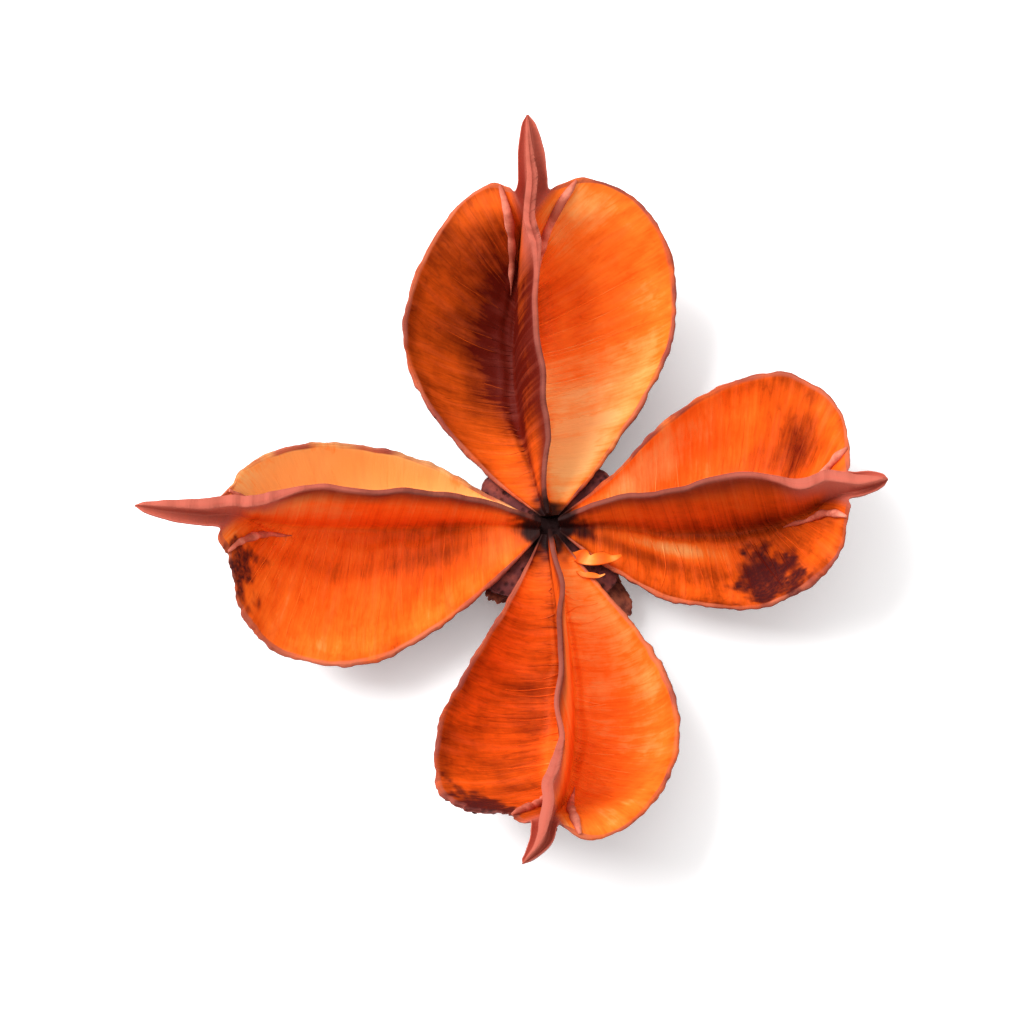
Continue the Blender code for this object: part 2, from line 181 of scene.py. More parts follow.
@dataclass
class Skin:
    """A closed tube of quads over rows of points, with numbers stored on its points.

    Attributes:
        points: Rows by points around, then coordinates.
        marks: Named numbers for each point, which the finishes read.
        flow: Two numbers for each point that follow the grown surface, in centimetres.
        ring: True where the last row joins the first one, and False where both ends are closed.
    """

    points: Array
    marks: dict[str, Array]
    flow: Array
    ring: bool = False

    def faces(self) -> tuple[Array, Array]:
        """Splits the skin into faces.

        Returns:
            The quads, and the triangles that close its two ends.
        """
        rows, around = self.points.shape[:2]
        upper = np.arange(rows if self.ring else rows - 1)[:, None] * around
        lower = (upper + around) % (rows * around)
        here = np.arange(around)[None, :]
        following = (here + 1) % around
        corners = [upper + here, upper + following, lower + following, lower + here]
        quads = np.stack(corners, axis=-1).reshape(-1, 4)
        if self.ring:
            return quads, np.zeros((0, 3), int)
        first, last = rows * around, rows * around + 1
        here, following = here[0], following[0]
        end = (rows - 1) * around
        start_cap = np.stack([np.full(around, first), following, here], axis=-1)
        end_cap = np.stack([np.full(around, last), end + here, end + following], axis=-1)
        return quads, np.concatenate([start_cap, end_cap])

    def closed(self, values: Array) -> Array:
        """Puts values in the order of the mesh's points.

        Args:
            values: A value for each point of the rows.

        Returns:
            The rows' own values, then the means of the two ends.
        """
        flat = values.reshape(-1, *values.shape[2:])
        if self.ring:
            return flat
        return np.concatenate([flat, values[:1].mean(axis=1), values[-1:].mean(axis=1)])

    def build(self, name: str) -> bpy.types.Object:
        """Makes the mesh object.

        Args:
            name: Name of the piece.

        Returns:
            The object, at the origin, with its faces pointing outwards.
        """
        points = self.closed(self.points)
        quads, triangles = self.faces()
        corners = points[quads]
        low, high = corners[:, [0, 1, 2]], corners[:, [0, 2, 3]]
        if np.linalg.det(low).sum() + np.linalg.det(high).sum() < 0.0:
            quads, triangles = quads[:, ::-1], triangles[:, ::-1]
        mesh = bpy.data.meshes.new(name)
        mesh.from_pydata(points.tolist(), [], quads.tolist() + triangles.tolist())
        for key, values in self.marks.items():
            mark = mesh.attributes.new(key, "FLOAT", "POINT")
            mark.data.foreach_set("value", self.closed(values).astype(np.float32))
        loops = np.zeros(len(mesh.loops), np.int32)
        mesh.loops.foreach_get("vertex_index", loops)
        flow = mesh.uv_layers.new(name="flow")
        flow.data.foreach_set("uv", self.closed(self.flow)[loops].astype(np.float32).ravel())
        mesh.shade_smooth()
        piece = bpy.data.objects.new(name, mesh)
        bpy.context.scene.collection.objects.link(piece)
        return piece


def settle(piece: bpy.types.Object, material: bpy.types.Material, *nodes: str) -> None:
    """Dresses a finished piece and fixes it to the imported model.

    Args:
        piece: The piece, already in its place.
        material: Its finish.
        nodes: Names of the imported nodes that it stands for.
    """
    piece.data.materials.clear()
    piece.data.materials.append(material)
    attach(piece, BODY)
    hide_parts(*nodes)
    LOG.info("%s: %d faces", piece.name, len(piece.data.polygons))


class Wire:
    """An output of a node, with arithmetic on it written as Python expressions."""

    def __init__(self, sheet: Graph, socket: bpy.types.NodeSocket) -> None:
        """Wraps the socket of a node on the sheet."""
        self.sheet = sheet
        self.socket = socket

    def _math(self, operation: str, first: object, second: object) -> Wire:
        """A Math node on two values."""
        return self.sheet.node("ShaderNodeMath", {"operation": operation}, {0: first, 1: second})

    def __add__(self, other: object) -> Wire:
        """Sum."""
        return self._math("ADD", self, other)

    def __radd__(self, other: object) -> Wire:
        """Sum, with the number first."""
        return self._math("ADD", other, self)

    def __sub__(self, other: object) -> Wire:
        """Difference."""
        return self._math("SUBTRACT", self, other)

    def __rsub__(self, other: object) -> Wire:
        """Difference, with the number first."""
        return self._math("SUBTRACT", other, self)

    def __mul__(self, other: object) -> Wire:
        """Product."""
        return self._math("MULTIPLY", self, other)

    def __rmul__(self, other: object) -> Wire:
        """Product, with the number first."""
        return self._math("MULTIPLY", other, self)

    def ridge(self, wide: float) -> Wire:
        """Lines of 1, this wide in the noise's own values, where noise crosses a half."""
        away = self._math("ABSOLUTE", self - 0.5, 0.0)
        return 1.0 - away.step(0.0, wide)

    def between(self, first: Wire, second: Wire) -> Wire:
        """The first value where this one is 0 and the second where it is 1."""
        return first * (1.0 - self) + second * self

    def within(self) -> Wire:
        """The value kept from 0 to 1."""
        return self.sheet.node("ShaderNodeClamp", {}, {0: self})

    def step(self, low: float, high: float) -> Wire:
        """A smooth step from 0 at low to 1 at high."""
        values = {"Value": self, "From Min": low, "From Max": high}
        return self.sheet.node("ShaderNodeMapRange", {"interpolation_type": "SMOOTHSTEP"}, values)


class Graph:
    """A node tree, with one call that adds any node."""

    def __init__(self, tree: bpy.types.NodeTree) -> None:
        """Works on this tree."""
        self.tree = tree

    def socket(self, node: bpy.types.Node, key: int | str) -> bpy.types.NodeSocket:
        """Finds an input of a node.

        Args:
            node: The node.
            key: The input's place, or its name among those in use.

        Returns:
            The input.
        """
        if isinstance(key, int):
            return node.inputs[key]
        return next(s for s in node.inputs if s.enabled and s.name == key)

    def feed(self, node: bpy.types.Node, values: dict) -> None:
        """Sets or links inputs of a node.

        Args:
            node: The node.
            values: Numbers, colours or wires, by the input's place or name.
        """
        for key, value in values.items():
            socket = self.socket(node, key)
            if isinstance(value, Wire):
                self.tree.links.new(value.socket, socket)
            else:
                socket.default_value = value

    def node(self, kind: str, settings: dict, values: dict, out: int | str = 0) -> Wire:
        """Adds a node.

        Args:
            kind: The node's type.
            settings: Its own settings, set first. stops fills a colour ramp.
            values: Numbers, colours or wires for its inputs.
            out: Place or name of the output wanted.

        Returns:
            That output.
        """
        node = self.tree.nodes.new(kind)
        for key, value in settings.items():
            if key == "stops":
                self._fill_ramp(node.color_ramp, value)
            else:
                setattr(node, key, value)
        self.feed(node, values)
        if isinstance(out, int):
            return Wire(self, node.outputs[out])
        return Wire(self, next(s for s in node.outputs if s.enabled and s.name == out))

    @staticmethod
    def _fill_ramp(ramp: bpy.types.ColorRamp, stops: list[tuple[float, Colour]]) -> None:
        """Fills a colour ramp.

        Args:
            ramp: The ramp, with two stops or more.
            stops: Places and colours, in order.
        """
        while len(ramp.elements) < len(stops):
            ramp.elements.new(1.0)
        for element, (place, colour) in zip(ramp.elements, stops):
            element.position = place
            element.color = (*colour, 1.0)


class Grower(Graph):
    """A Geometry Nodes tree that turns a plain seedbed mesh into a finished piece."""

    def __init__(self, name: str, inputs: dict[str, str]) -> None:
        """Starts the tree.

        Args:
            name: Its name.
            inputs: Socket types of its sizes, by their names.
        """
        super().__init__(bpy.data.node_groups.new(name, "GeometryNodeTree"))
        self.tree.is_modifier = True
        face = self.tree.interface
        face.new_socket(name="Geometry", in_out="INPUT", socket_type="NodeSocketGeometry")
        for key, kind in {**inputs, "Material": "NodeSocketMaterial"}.items():
            face.new_socket(name=key, in_out="INPUT", socket_type=kind)
        face.new_socket(name="Geometry", in_out="OUTPUT", socket_type="NodeSocketGeometry")
        self.entry = self.tree.nodes.new("NodeGroupInput")
        self.exit = self.tree.nodes.new("NodeGroupOutput")

    def given(self, name: str) -> Wire:
        """One of the tree's own inputs."""
        return Wire(self, self.entry.outputs[name])

    def stored(self, name: str) -> Wire:
        """A number stored on the points of the seedbed."""
        kind = "GeometryNodeInputNamedAttribute"
        return self.node(kind, {"data_type": "FLOAT"}, {"Name": name}, "Attribute")

    def close(self, shape: Wire) -> None:
        """Ends the tree.

        Args:
            shape: What it grows, which is made real, smooth and dressed in the material given.
        """
        real = self.node("GeometryNodeRealizeInstances", {}, {"Geometry": shape})
        smooth = self.node("GeometryNodeSetShadeSmooth", {}, {"Geometry": real})
        values = {"Geometry": smooth, "Material": self.given("Material")}
        dressed = self.node("GeometryNodeSetMaterial", {}, values)
        self.tree.links.new(dressed.socket, self.exit.inputs[0])

    def grow(self, name: str, seedbed: bpy.types.Mesh, values: dict) -> bpy.types.Object:
        """Runs the tree on a mesh.

        Args:
            name: Name of the piece.
            seedbed: The mesh that the piece grows from.
            values: Values of the tree's inputs, by their names.

        Returns:
            The piece, as a plain mesh at the origin.
        """
        bed = bpy.data.objects.new(name + "_seedbed", seedbed)
        bpy.context.scene.collection.objects.link(bed)
        modifier = bed.modifiers.new(name, "NODES")
        modifier.node_group = self.tree
        for item in self.tree.interface.items_tree:
            if item.in_out == "INPUT" and item.name in values:
                modifier[item.identifier] = values[item.name]
        bpy.context.view_layer.update()
        graph = bpy.context.evaluated_depsgraph_get()
        mesh = bpy.data.meshes.new_from_object(bed.evaluated_get(graph))
        bpy.data.objects.remove(bed)
        mesh.name = name
        piece = bpy.data.objects.new(name, mesh)
        bpy.context.scene.collection.objects.link(piece)
        return piece


class Sheet(Graph):
    """The node sheet of one material."""

    def __init__(self, name: str, gloss: float = 0.3) -> None:
        """Starts the material.

        Args:
            name: Its name.
            gloss: The shader's specular level.
        """
        self.material = bpy.data.materials.new(name)
        self.material.use_nodes = True
        super().__init__(self.material.node_tree)
        self.shader = self.tree.nodes["Principled BSDF"]
        self.shader.inputs["Specular IOR Level"].default_value = gloss

    def mark(self, name: str) -> Wire:
        """A number stored on the piece's points."""
        return self.node("ShaderNodeAttribute", {"attribute_name": name}, {}, "Fac")

    def place(self) -> Wire:
        """The point in the piece's own coordinates."""
        return self.node("ShaderNodeTexCoord", {}, {}, "Object")

    def flow(self, across: float, along: float) -> Wire:
        """The coordinates that follow the grown surface, stretched by two scales.

        Args:
            across: Scale from the septum to the margin.
            along: Scale from the foot to the tip.

        Returns:
            A vector.
        """
        uv = self.node("ShaderNodeUVMap", {"uv_map": "flow"}, {})
        values = {0: uv, 1: (across, along, 1.0)}
        return self.node("ShaderNodeVectorMath", {"operation": "MULTIPLY"}, values)

    def noise(self, vector: Wire, scale: float, detail: float = 3.0, rough: float = 0.5) -> Wire:
        """Fractal noise.

        Args:
            vector: Where to read it.
            scale: Cells to a metre, or to a unit of the vector.
            detail: Layers of finer noise.
            rough: How strong the finer layers are.

        Returns:
            Numbers round a half.
        """
        values = {"Vector": vector, "Scale": scale, "Detail": detail, "Roughness": rough}
        return self.node("ShaderNodeTexNoise", {}, values)

    def drawn(self, across: float, along: float, detail: float = 2.0, rough: float = 0.5) -> Wire:
        """Noise that follows the grown surface, with its cells stretched by two scales."""
        return self.noise(self.flow(across, along), 1.0, detail, rough)

    def cells(self, vector: Wire, scale: float) -> Wire:
        """Distance to the nearest of scattered points."""
        return self.node("ShaderNodeTexVoronoi", {}, {"Vector": vector, "Scale": scale})

    def ramp(self, value: Wire, stops: list[tuple[float, Colour]]) -> Wire:
        """A colour read from stops."""
        return self.node("ShaderNodeValToRGB", {"stops": stops}, {0: value})

    def blend(self, factor: Wire | float, first: Wire | Colour, second: Wire | Colour) -> Wire:
        """A colour between two.

        Args:
            factor: 0 for the first one and 1 for the second.
            first: A colour.
            second: Another colour.

        Returns:
            The mixed colour.
        """
        sides = [c if isinstance(c, Wire) else (*c, 1.0) for c in (first, second)]
        values = {"Factor": factor, "A": sides[0], "B": sides[1]}
        return self.node("ShaderNodeMix", {"data_type": "RGBA"}, values, "Result")

    def finish(self, colour: Wire, roughness: Wire, relief: Wire, height: float) -> None:
        """Links the shader.

        Args:
            colour: Base colour.
            roughness: Roughness.
            relief: Height of the fine relief, from 0 to 1.
            height: What 1 stands for, in metres.
        """
        heights = {"Strength": 1.0, "Distance": height, "Height": relief}
        bump = self.node("ShaderNodeBump", {}, heights)
        self.feed(self.shader, {"Base Color": colour, "Roughness": roughness, "Normal": bump})


@dataclass(frozen=True)
class Station:
    """A place along half a valve, where one vein runs from the keel out to the margin.

    keel and reach are how far along the valve the vein starts and ends: 1 is the notch between
    the lobes, 2 the tip of the beak. depth is a share of the keel's depth, spread a share of the
    lobe's width, and margin and crest are heights from the chord.
    """

    keel: float
    depth: float
    reach: float
    spread: float
    margin: float
    crest: float


STATIONS = (
    Station(0.008, 0.40, 0.008, 0.060, -4.6 * MM, -3.6 * MM),
    Station(0.165, 0.56, 0.165, 0.400, -5.7 * MM, -2.0 * MM),
    Station(0.340, 0.89, 0.370, 0.790, -5.5 * MM, -0.6 * MM),
    Station(0.490, 1.00, 0.570, 1.000, -5.2 * MM, 0.0 * MM),
    Station(0.620, 0.97, 0.780, 0.950, -4.5 * MM, 0.2 * MM),
    Station(0.730, 0.84, 0.945, 0.700, -3.2 * MM, 0.2 * MM),
    Station(0.810, 0.66, 1.020, 0.380, -2.1 * MM, 0.2 * MM),
    Station(0.880, 0.43, 0.985, 0.190, -1.5 * MM, 0.3 * MM),
    Station(0.945, 0.22, 0.975, 0.115, -1.0 * MM, 0.4 * MM),
    Station(1.450, 0.08, 1.450, 0.090, -0.4 * MM, 0.5 * MM),
    Station(2.000, 0.00, 2.000, 0.026, 0.1 * MM, 0.3 * MM),
)
LAST_STATION = len(STATIONS) - 1.0


@dataclass(frozen=True)
class Lobe:
    """Half of a valve.

    width is at its middle, length a share of the valve's own, and club is how fast it widens
    towards its tip. tone is how much paler or darker its lining is, partly its own
    colour and partly painted light and shade for the way the lobe faces the lamps, and torn is
    how far its broken end is ragged.
    """

    width: float
    length: float = 1.0
    club: float = 0.0
    tone: float = 0.0
    torn: float = 0.0


@dataclass(frozen=True)
class Stain:
    """A patch on a lobe's lining, dark where deep is above 0 and pale where it is below.

    place is its middle in stations and share its middle on the way to the margin, long and wide
    are its half length and half width in the same measures. Some stains are painted light and
    shade, and the others are the husk's own blotches.
    """

    side: Side
    place: float
    share: float
    long: float
    wide: float
    deep: float


@dataclass(frozen=True)
class HuskGrowth:
    """What every valve of the husk has in common.

    A span of two stations is where something fades in or out, and a span of four is where it
    fades in and then out again.
    """

    # The wall: its thickness, its trough and the flat spot that it rests on.
    flat_cut: float = 0.25 * MM
    wall: float = 1.0 * MM
    wall_at_margin: float = 0.42 * MM
    wall_at_beak: float = 0.5 * MM
    trough: float = 1.8
    fullness: float = 0.9 * MM
    sag_peak: float = 4.0 / 27.0
    keel_depth_guess: float = 11.0 * MM
    # The septum: its thickness, its foot and how its crest wavers.
    septum: float = 0.7 * MM
    narrow_septum: float = 0.35
    septum_foot: float = 1.3
    waver_turn: float = 1.7
    waver_height: float = 6.0 * MM
    # The lobes: where they widen and lengthen, their rippled margins and their roll.
    middle_reach: float = 0.57
    notch_spread: float = 0.10
    lobe_spread: float = 0.30
    ripple_turn: float = 3.1
    roll_height: float = -5.0 * MM
    roll_end: float = 10.0 * MM
    # Stations where the foot ends, the wall folds into the notch, and the beak starts.
    foot_end: float = 1.0
    notch: tuple[float, float] = (4.5, 6.5)
    beak: tuple[float, float] = (7.0, 10.0)
    # Rows and columns of points, and the rounded rim between the two faces.
    rows: int = 300
    wall_columns: int = 30
    septum_columns: int = 10
    rim_columns: int = 3
    rim_bulge: float = 0.8
    column_crowding: float = 0.10
    # Waves and bays of the margin, and its torn end.
    edge_wave: float = 0.20 * MM
    edge_size: float = 3.2 * MM
    edge_span: tuple[float, float, float, float] = (0.3, 1.5, 6.6, 7.4)
    wave_share: float = 0.6
    bay_share: float = 0.8
    torn_size: float = 0.7 * MM
    torn_least: float = 0.35
    torn_span: tuple[float, float, float, float] = (4.3, 5.0, 6.3, 6.9)
    # Wrinkles and swells of the lining, and its folds beside the septum.
    wrinkle: float = 0.08 * MM
    wrinkle_size: float = 1.3 * MM
    wrinkle_squeeze: float = 0.16
    wrinkle_bend: float = 0.8 * MM
    bend_size: float = 3.0 * MM
    lobes_apart: float = 10.0 * MM
    swell: float = 0.26 * MM
    swell_size: float = 5.0 * MM
    fold: float = 0.10 * MM
    fold_turn: float = 46.0
    fold_bend: float = 2.5
    fold_middle: float = 0.12
    fold_spread: float = 0.008
    lining_span: tuple[float, float, float, float] = (0.6, 2.0, 6.0, 7.2)
    # Crust, crumbs and swells of the back, and the seam along its keel.
    crust: float = 0.16 * MM
    crust_size: float = 1.0 * MM
    crumb_share: float = 0.5
    crumb_size: float = 0.5 * MM
    back_swell: float = 0.13 * MM
    back_swell_size: float = 3.0 * MM
    back_seam: float = 0.22 * MM
    back_seam_width: float = 0.35 * MM
    crust_start: tuple[float, float] = (0.3, 1.2)
    crust_end: tuple[float, float] = (6.4, 7.4)
    smoothed_beak: float = 0.7
    # The septum's taper and its uneven crest, which is split near the notch.
    septum_taper: float = 0.45
    crest_sway: float = 0.45 * MM
    crest_sway_size: float = 4.2 * MM
    crest_sway_height: float = 5.0 * MM
    crest_jag: float = 0.25 * MM
    crest_jag_size: float = 1.3 * MM
    crest_dent: float = 0.05 * MM
    split_flare: float = 0.8
    split_start: tuple[float, float] = (4.6, 6.4)
    split_end: tuple[float, float] = (8.2, 9.6)
    split_closes: float = 0.85
    # The tip of the beak, which narrows to a point.
    tip_span: tuple[float, float] = (9.55, 10.0)
    tip_taper: float = 0.7
    # Ragged outline of a blot, and how far it darkens what grows on the lining.
    blot_edge: tuple[float, float] = (0.55, 1.15)
    blot_ragged: float = 0.55
    blot_sizes: tuple[float, float] = (1.5 * MM, 0.6 * MM)
    blot_fine: float = 0.6
    blot_tone: float = 0.6
    # How far the flow map runs on over a side of the septum.
    septum_flow: float = 0.05


GROWTH = HuskGrowth()


@dataclass(frozen=True)
class Valve:
    """One quarter of the husk, by where it points and how it grew.

    bearing, rise and roll are degrees: rise lifts the tip and roll lifts the left lobe. sway bows
    the whole valve to the left, lean bows the septum's crest to the left of its foot, and cleft is
    how deep the crest has split near the notch.
    """

    name: str
    bearing: float
    length: float
    beak: float
    left: Lobe
    right: Lobe
    rise: float = 8.0
    roll: float = 0.0
    sway: float = 0.0
    lean: float = 0.0
    hook: float = 0.0
    ripple: float = 0.3 * MM
    waver: float = 0.2 * MM
    cleft: float = 0.5 * MM
    phase: float = 0.0
    stains: tuple[Stain, ...] = ()

    def bow(self, amount: float, x: Array) -> Array:
        """A sideways bow of this amount halfway along the valve, at distances along it."""
        return amount * np.sin(math.pi * np.clip(x / self.length, 0.0, 1.0))

    def along(self, share: float) -> float:
        """Distance from the boll's axis: a share of 1 is the notch and 2 the beak's tip."""
        return self.length * min(share, 1.0) + self.beak * max(share - 1.0, 0.0)

    def lobe(self, side: Side) -> Lobe:
        """The lobe on this side."""
        return self.left if side is Side.LEFT else self.right

    def keel_line(self, depth: float, places: Array) -> Array:
        """The inner keel.

        Args:
            depth: How deep the keel is at its deepest.
            places: Places along the valve, in stations.

        Returns:
            A point for each place, in the valve's own frame.
        """
        x = through([self.along(s.keel) for s in STATIONS], places)
        z = through([-s.depth * depth for s in STATIONS], places)
        return np.stack([x, np.zeros_like(x), z], axis=1)

    def margin_line(self, side: Side, places: Array) -> Array:
        """The inner margin of one lobe.

        Args:
            side: Which lobe.
            places: Places along the valve, in stations.

        Returns:
            A point for each place, in the valve's own frame.
        """
        lobe = self.lobe(side)
        reaches, spreads = [], []
        for station in STATIONS:
            past_notch = (station.spread - GROWTH.notch_spread) / GROWTH.lobe_spread
            past_notch = min(max(past_notch, 0.0), 1.0)
            stretch = past_notch * (lobe.length - 1.0) * station.reach**4
            widening = past_notch * lobe.club * (station.reach - GROWTH.middle_reach)
            reaches.append(self.along(station.reach) + self.length * stretch)
            spreads.append(station.spread * (1.0 + widening))
        spread = through(spreads, places)
        turn = GROWTH.ripple_turn * places + self.phase + side.value
        height = through([s.margin for s in STATIONS], places)
        height = height + self.ripple * spread * np.sin(turn)
        return np.stack(
            [through(reaches, places), side.value * lobe.width * spread, height], axis=1
        )

    def placed(self, points: Array) -> Array:
        """Moves points from the valve's own frame to the row frame.

        Args:
            points: Points in their last axis.

        Returns:
            The points where the valve lies in the boll.
        """
        x, y, z = np.moveaxis(points, -1, 0)
        y = y + self.bow(self.sway, x)
        y = y + self.hook * np.clip((x - self.length) / self.beak, 0.0, 1.0) ** 2
        roll = math.radians(self.roll) * eased(x, 0.0, GROWTH.roll_end)
        y, z = turned(y, z - GROWTH.roll_height, roll)
        x, z = turned(x, z + GROWTH.roll_height, math.radians(self.rise))
        x, y = turned(x, y, math.radians(self.bearing))
        return np.stack([x + AXIS.east, y + AXIS.north, z + AXIS.chord], axis=-1)


# The lobes' tone is partly painted light and shade: on the north and south valves the lobe whose
# lining faces east is darker and the one that faces west paler.
VALVES = (
    Valve(
        "valve_east",
        bearing=2.0,
        length=25.2 * MM,
        beak=2.6 * MM,
        left=Lobe(10.2 * MM, length=0.97, club=0.5, tone=-0.12),
        right=Lobe(9.2 * MM, length=0.95, club=-0.3, tone=-0.22),
        sway=1.1 * MM,
        ripple=0.5 * MM,
        waver=0.5 * MM,
        phase=0.6,
        stains=(
            Stain(Side.RIGHT, 3.8, 0.66, 0.74, 0.40, 1.0),
            Stain(Side.LEFT, 4.7, 0.58, 0.60, 0.24, 0.36),
            Stain(Side.LEFT, 1.6, 0.74, 1.20, 0.40, -0.40),
            Stain(Side.RIGHT, 2.1, 0.24, 0.95, 0.12, -0.60),
            Stain(Side.RIGHT, 1.7, 0.46, 1.10, 0.14, 0.16),
        ),
    ),
    Valve(
        "valve_north",
        bearing=93.2,
        length=28.0 * MM,
        beak=5.4 * MM,
        left=Lobe(9.4 * MM, club=-0.25, tone=-0.22),
        right=Lobe(12.8 * MM, tone=0.04),
        sway=1.6 * MM,
        lean=-1.6 * MM,
        cleft=1.1 * MM,
        phase=2.1,
        stains=(
            # Painted light: the two pale patches low on the right lobe, whose lining faces the key
            # light.
            Stain(Side.RIGHT, 1.2, 0.50, 1.50, 0.60, -0.42),
            Stain(Side.RIGHT, 2.8, 0.12, 0.70, 0.22, -0.36),
            Stain(Side.RIGHT, 3.9, 0.40, 1.00, 0.55, 0.13),
            Stain(Side.RIGHT, 5.6, 0.60, 0.70, 0.40, -0.16),
            # Painted shade: the two dark patches beside the septum on the left lobe, whose lining
            # faces away from the key light.
            Stain(Side.LEFT, 4.0, 0.16, 1.90, 0.46, 0.36),
            Stain(Side.LEFT, 1.8, 0.00, 1.60, 0.12, 0.30),
        ),
    ),
    Valve(
        "valve_west",
        bearing=181.5,
        length=28.0 * MM,
        beak=6.0 * MM,
        left=Lobe(13.4 * MM, length=0.93, club=-0.15, tone=0.00, torn=0.5 * MM),
        right=Lobe(5.0 * MM, length=0.92, tone=0.40),
        rise=7.0,
        roll=-5.0,
        sway=-1.7 * MM,
        phase=3.3,
        stains=(
            Stain(Side.LEFT, 5.8, 0.86, 0.80, 0.38, 0.95),
            Stain(Side.LEFT, 1.6, 0.80, 1.20, 0.60, 0.15),
            Stain(Side.LEFT, 3.2, 0.72, 1.20, 0.30, -0.05),
            Stain(Side.LEFT, 5.0, 0.10, 1.40, 0.14, -0.18),
            Stain(Side.LEFT, 3.0, 0.30, 2.00, 0.08, 0.20),
            Stain(Side.RIGHT, 3.0, 0.60, 2.60, 0.60, -0.20),
        ),
    ),
    Valve(
        "valve_south",
        bearing=269.5,
        length=28.6 * MM,
        beak=3.2 * MM,
        left=Lobe(8.9 * MM, club=0.15, tone=0.10),
        right=Lobe(9.7 * MM, length=0.92, club=0.4, tone=-0.25, torn=1.0 * MM),
        rise=7.0,
        roll=4.0,
        sway=1.4 * MM,
        hook=-1.6 * MM,
        phase=5.0,
        stains=(
            Stain(Side.RIGHT, 5.6, 0.93, 1.15, 0.26, 1.0),
            Stain(Side.LEFT, 5.2, 0.80, 1.30, 0.50, 0.13),
            Stain(Side.RIGHT, 3.8, 0.12, 1.30, 0.10, -0.40),
            Stain(Side.RIGHT, 2.8, 0.36, 1.60, 0.18, 0.09),
        ),
    ),
)


# A stain deeper than this is a dark blot with an outline of its own, and not only a tone.
DEEP_STAIN = 0.6
# Units of the flow map in a metre: it counts centimetres.
FLOW_SCALE = 100.0
# Rounds in which a keel's depth settles, and points of the keel that are read for its height.
DEPTH_ROUNDS = 4
KEEL_POINTS = 200


@dataclass(frozen=True)
class PitShade:
    """Painted shade: the nearly black middle of the boll, deep where the septa meet, with its uneven
    outline.
    """

    inner: float = 0.7 * MM
    outer: float = 4.5 * MM
    ragged: float = 1.1 * MM
    coarse: float = 2.0 * MM
    fine: float = 0.7 * MM
    fine_share: float = 0.7

    def mark(self, points: Array) -> Array:
        """How deep in the painted shade of the middle each point lies.

        Args:
            points: Points in the row frame.

        Returns:
            1 at the boll's axis and 0 well away from it.
        """
        away = np.hypot(points[..., 0] - AXIS.east, points[..., 1] - AXIS.north)
        uneven = grain(points, self.coarse, 11.0)
        uneven = uneven + self.fine_share * grain(points, self.fine, 12.0)
        return 1.0 - eased(away + self.ragged * uneven, self.inner, self.outer)


PIT_SHADE = PitShade()


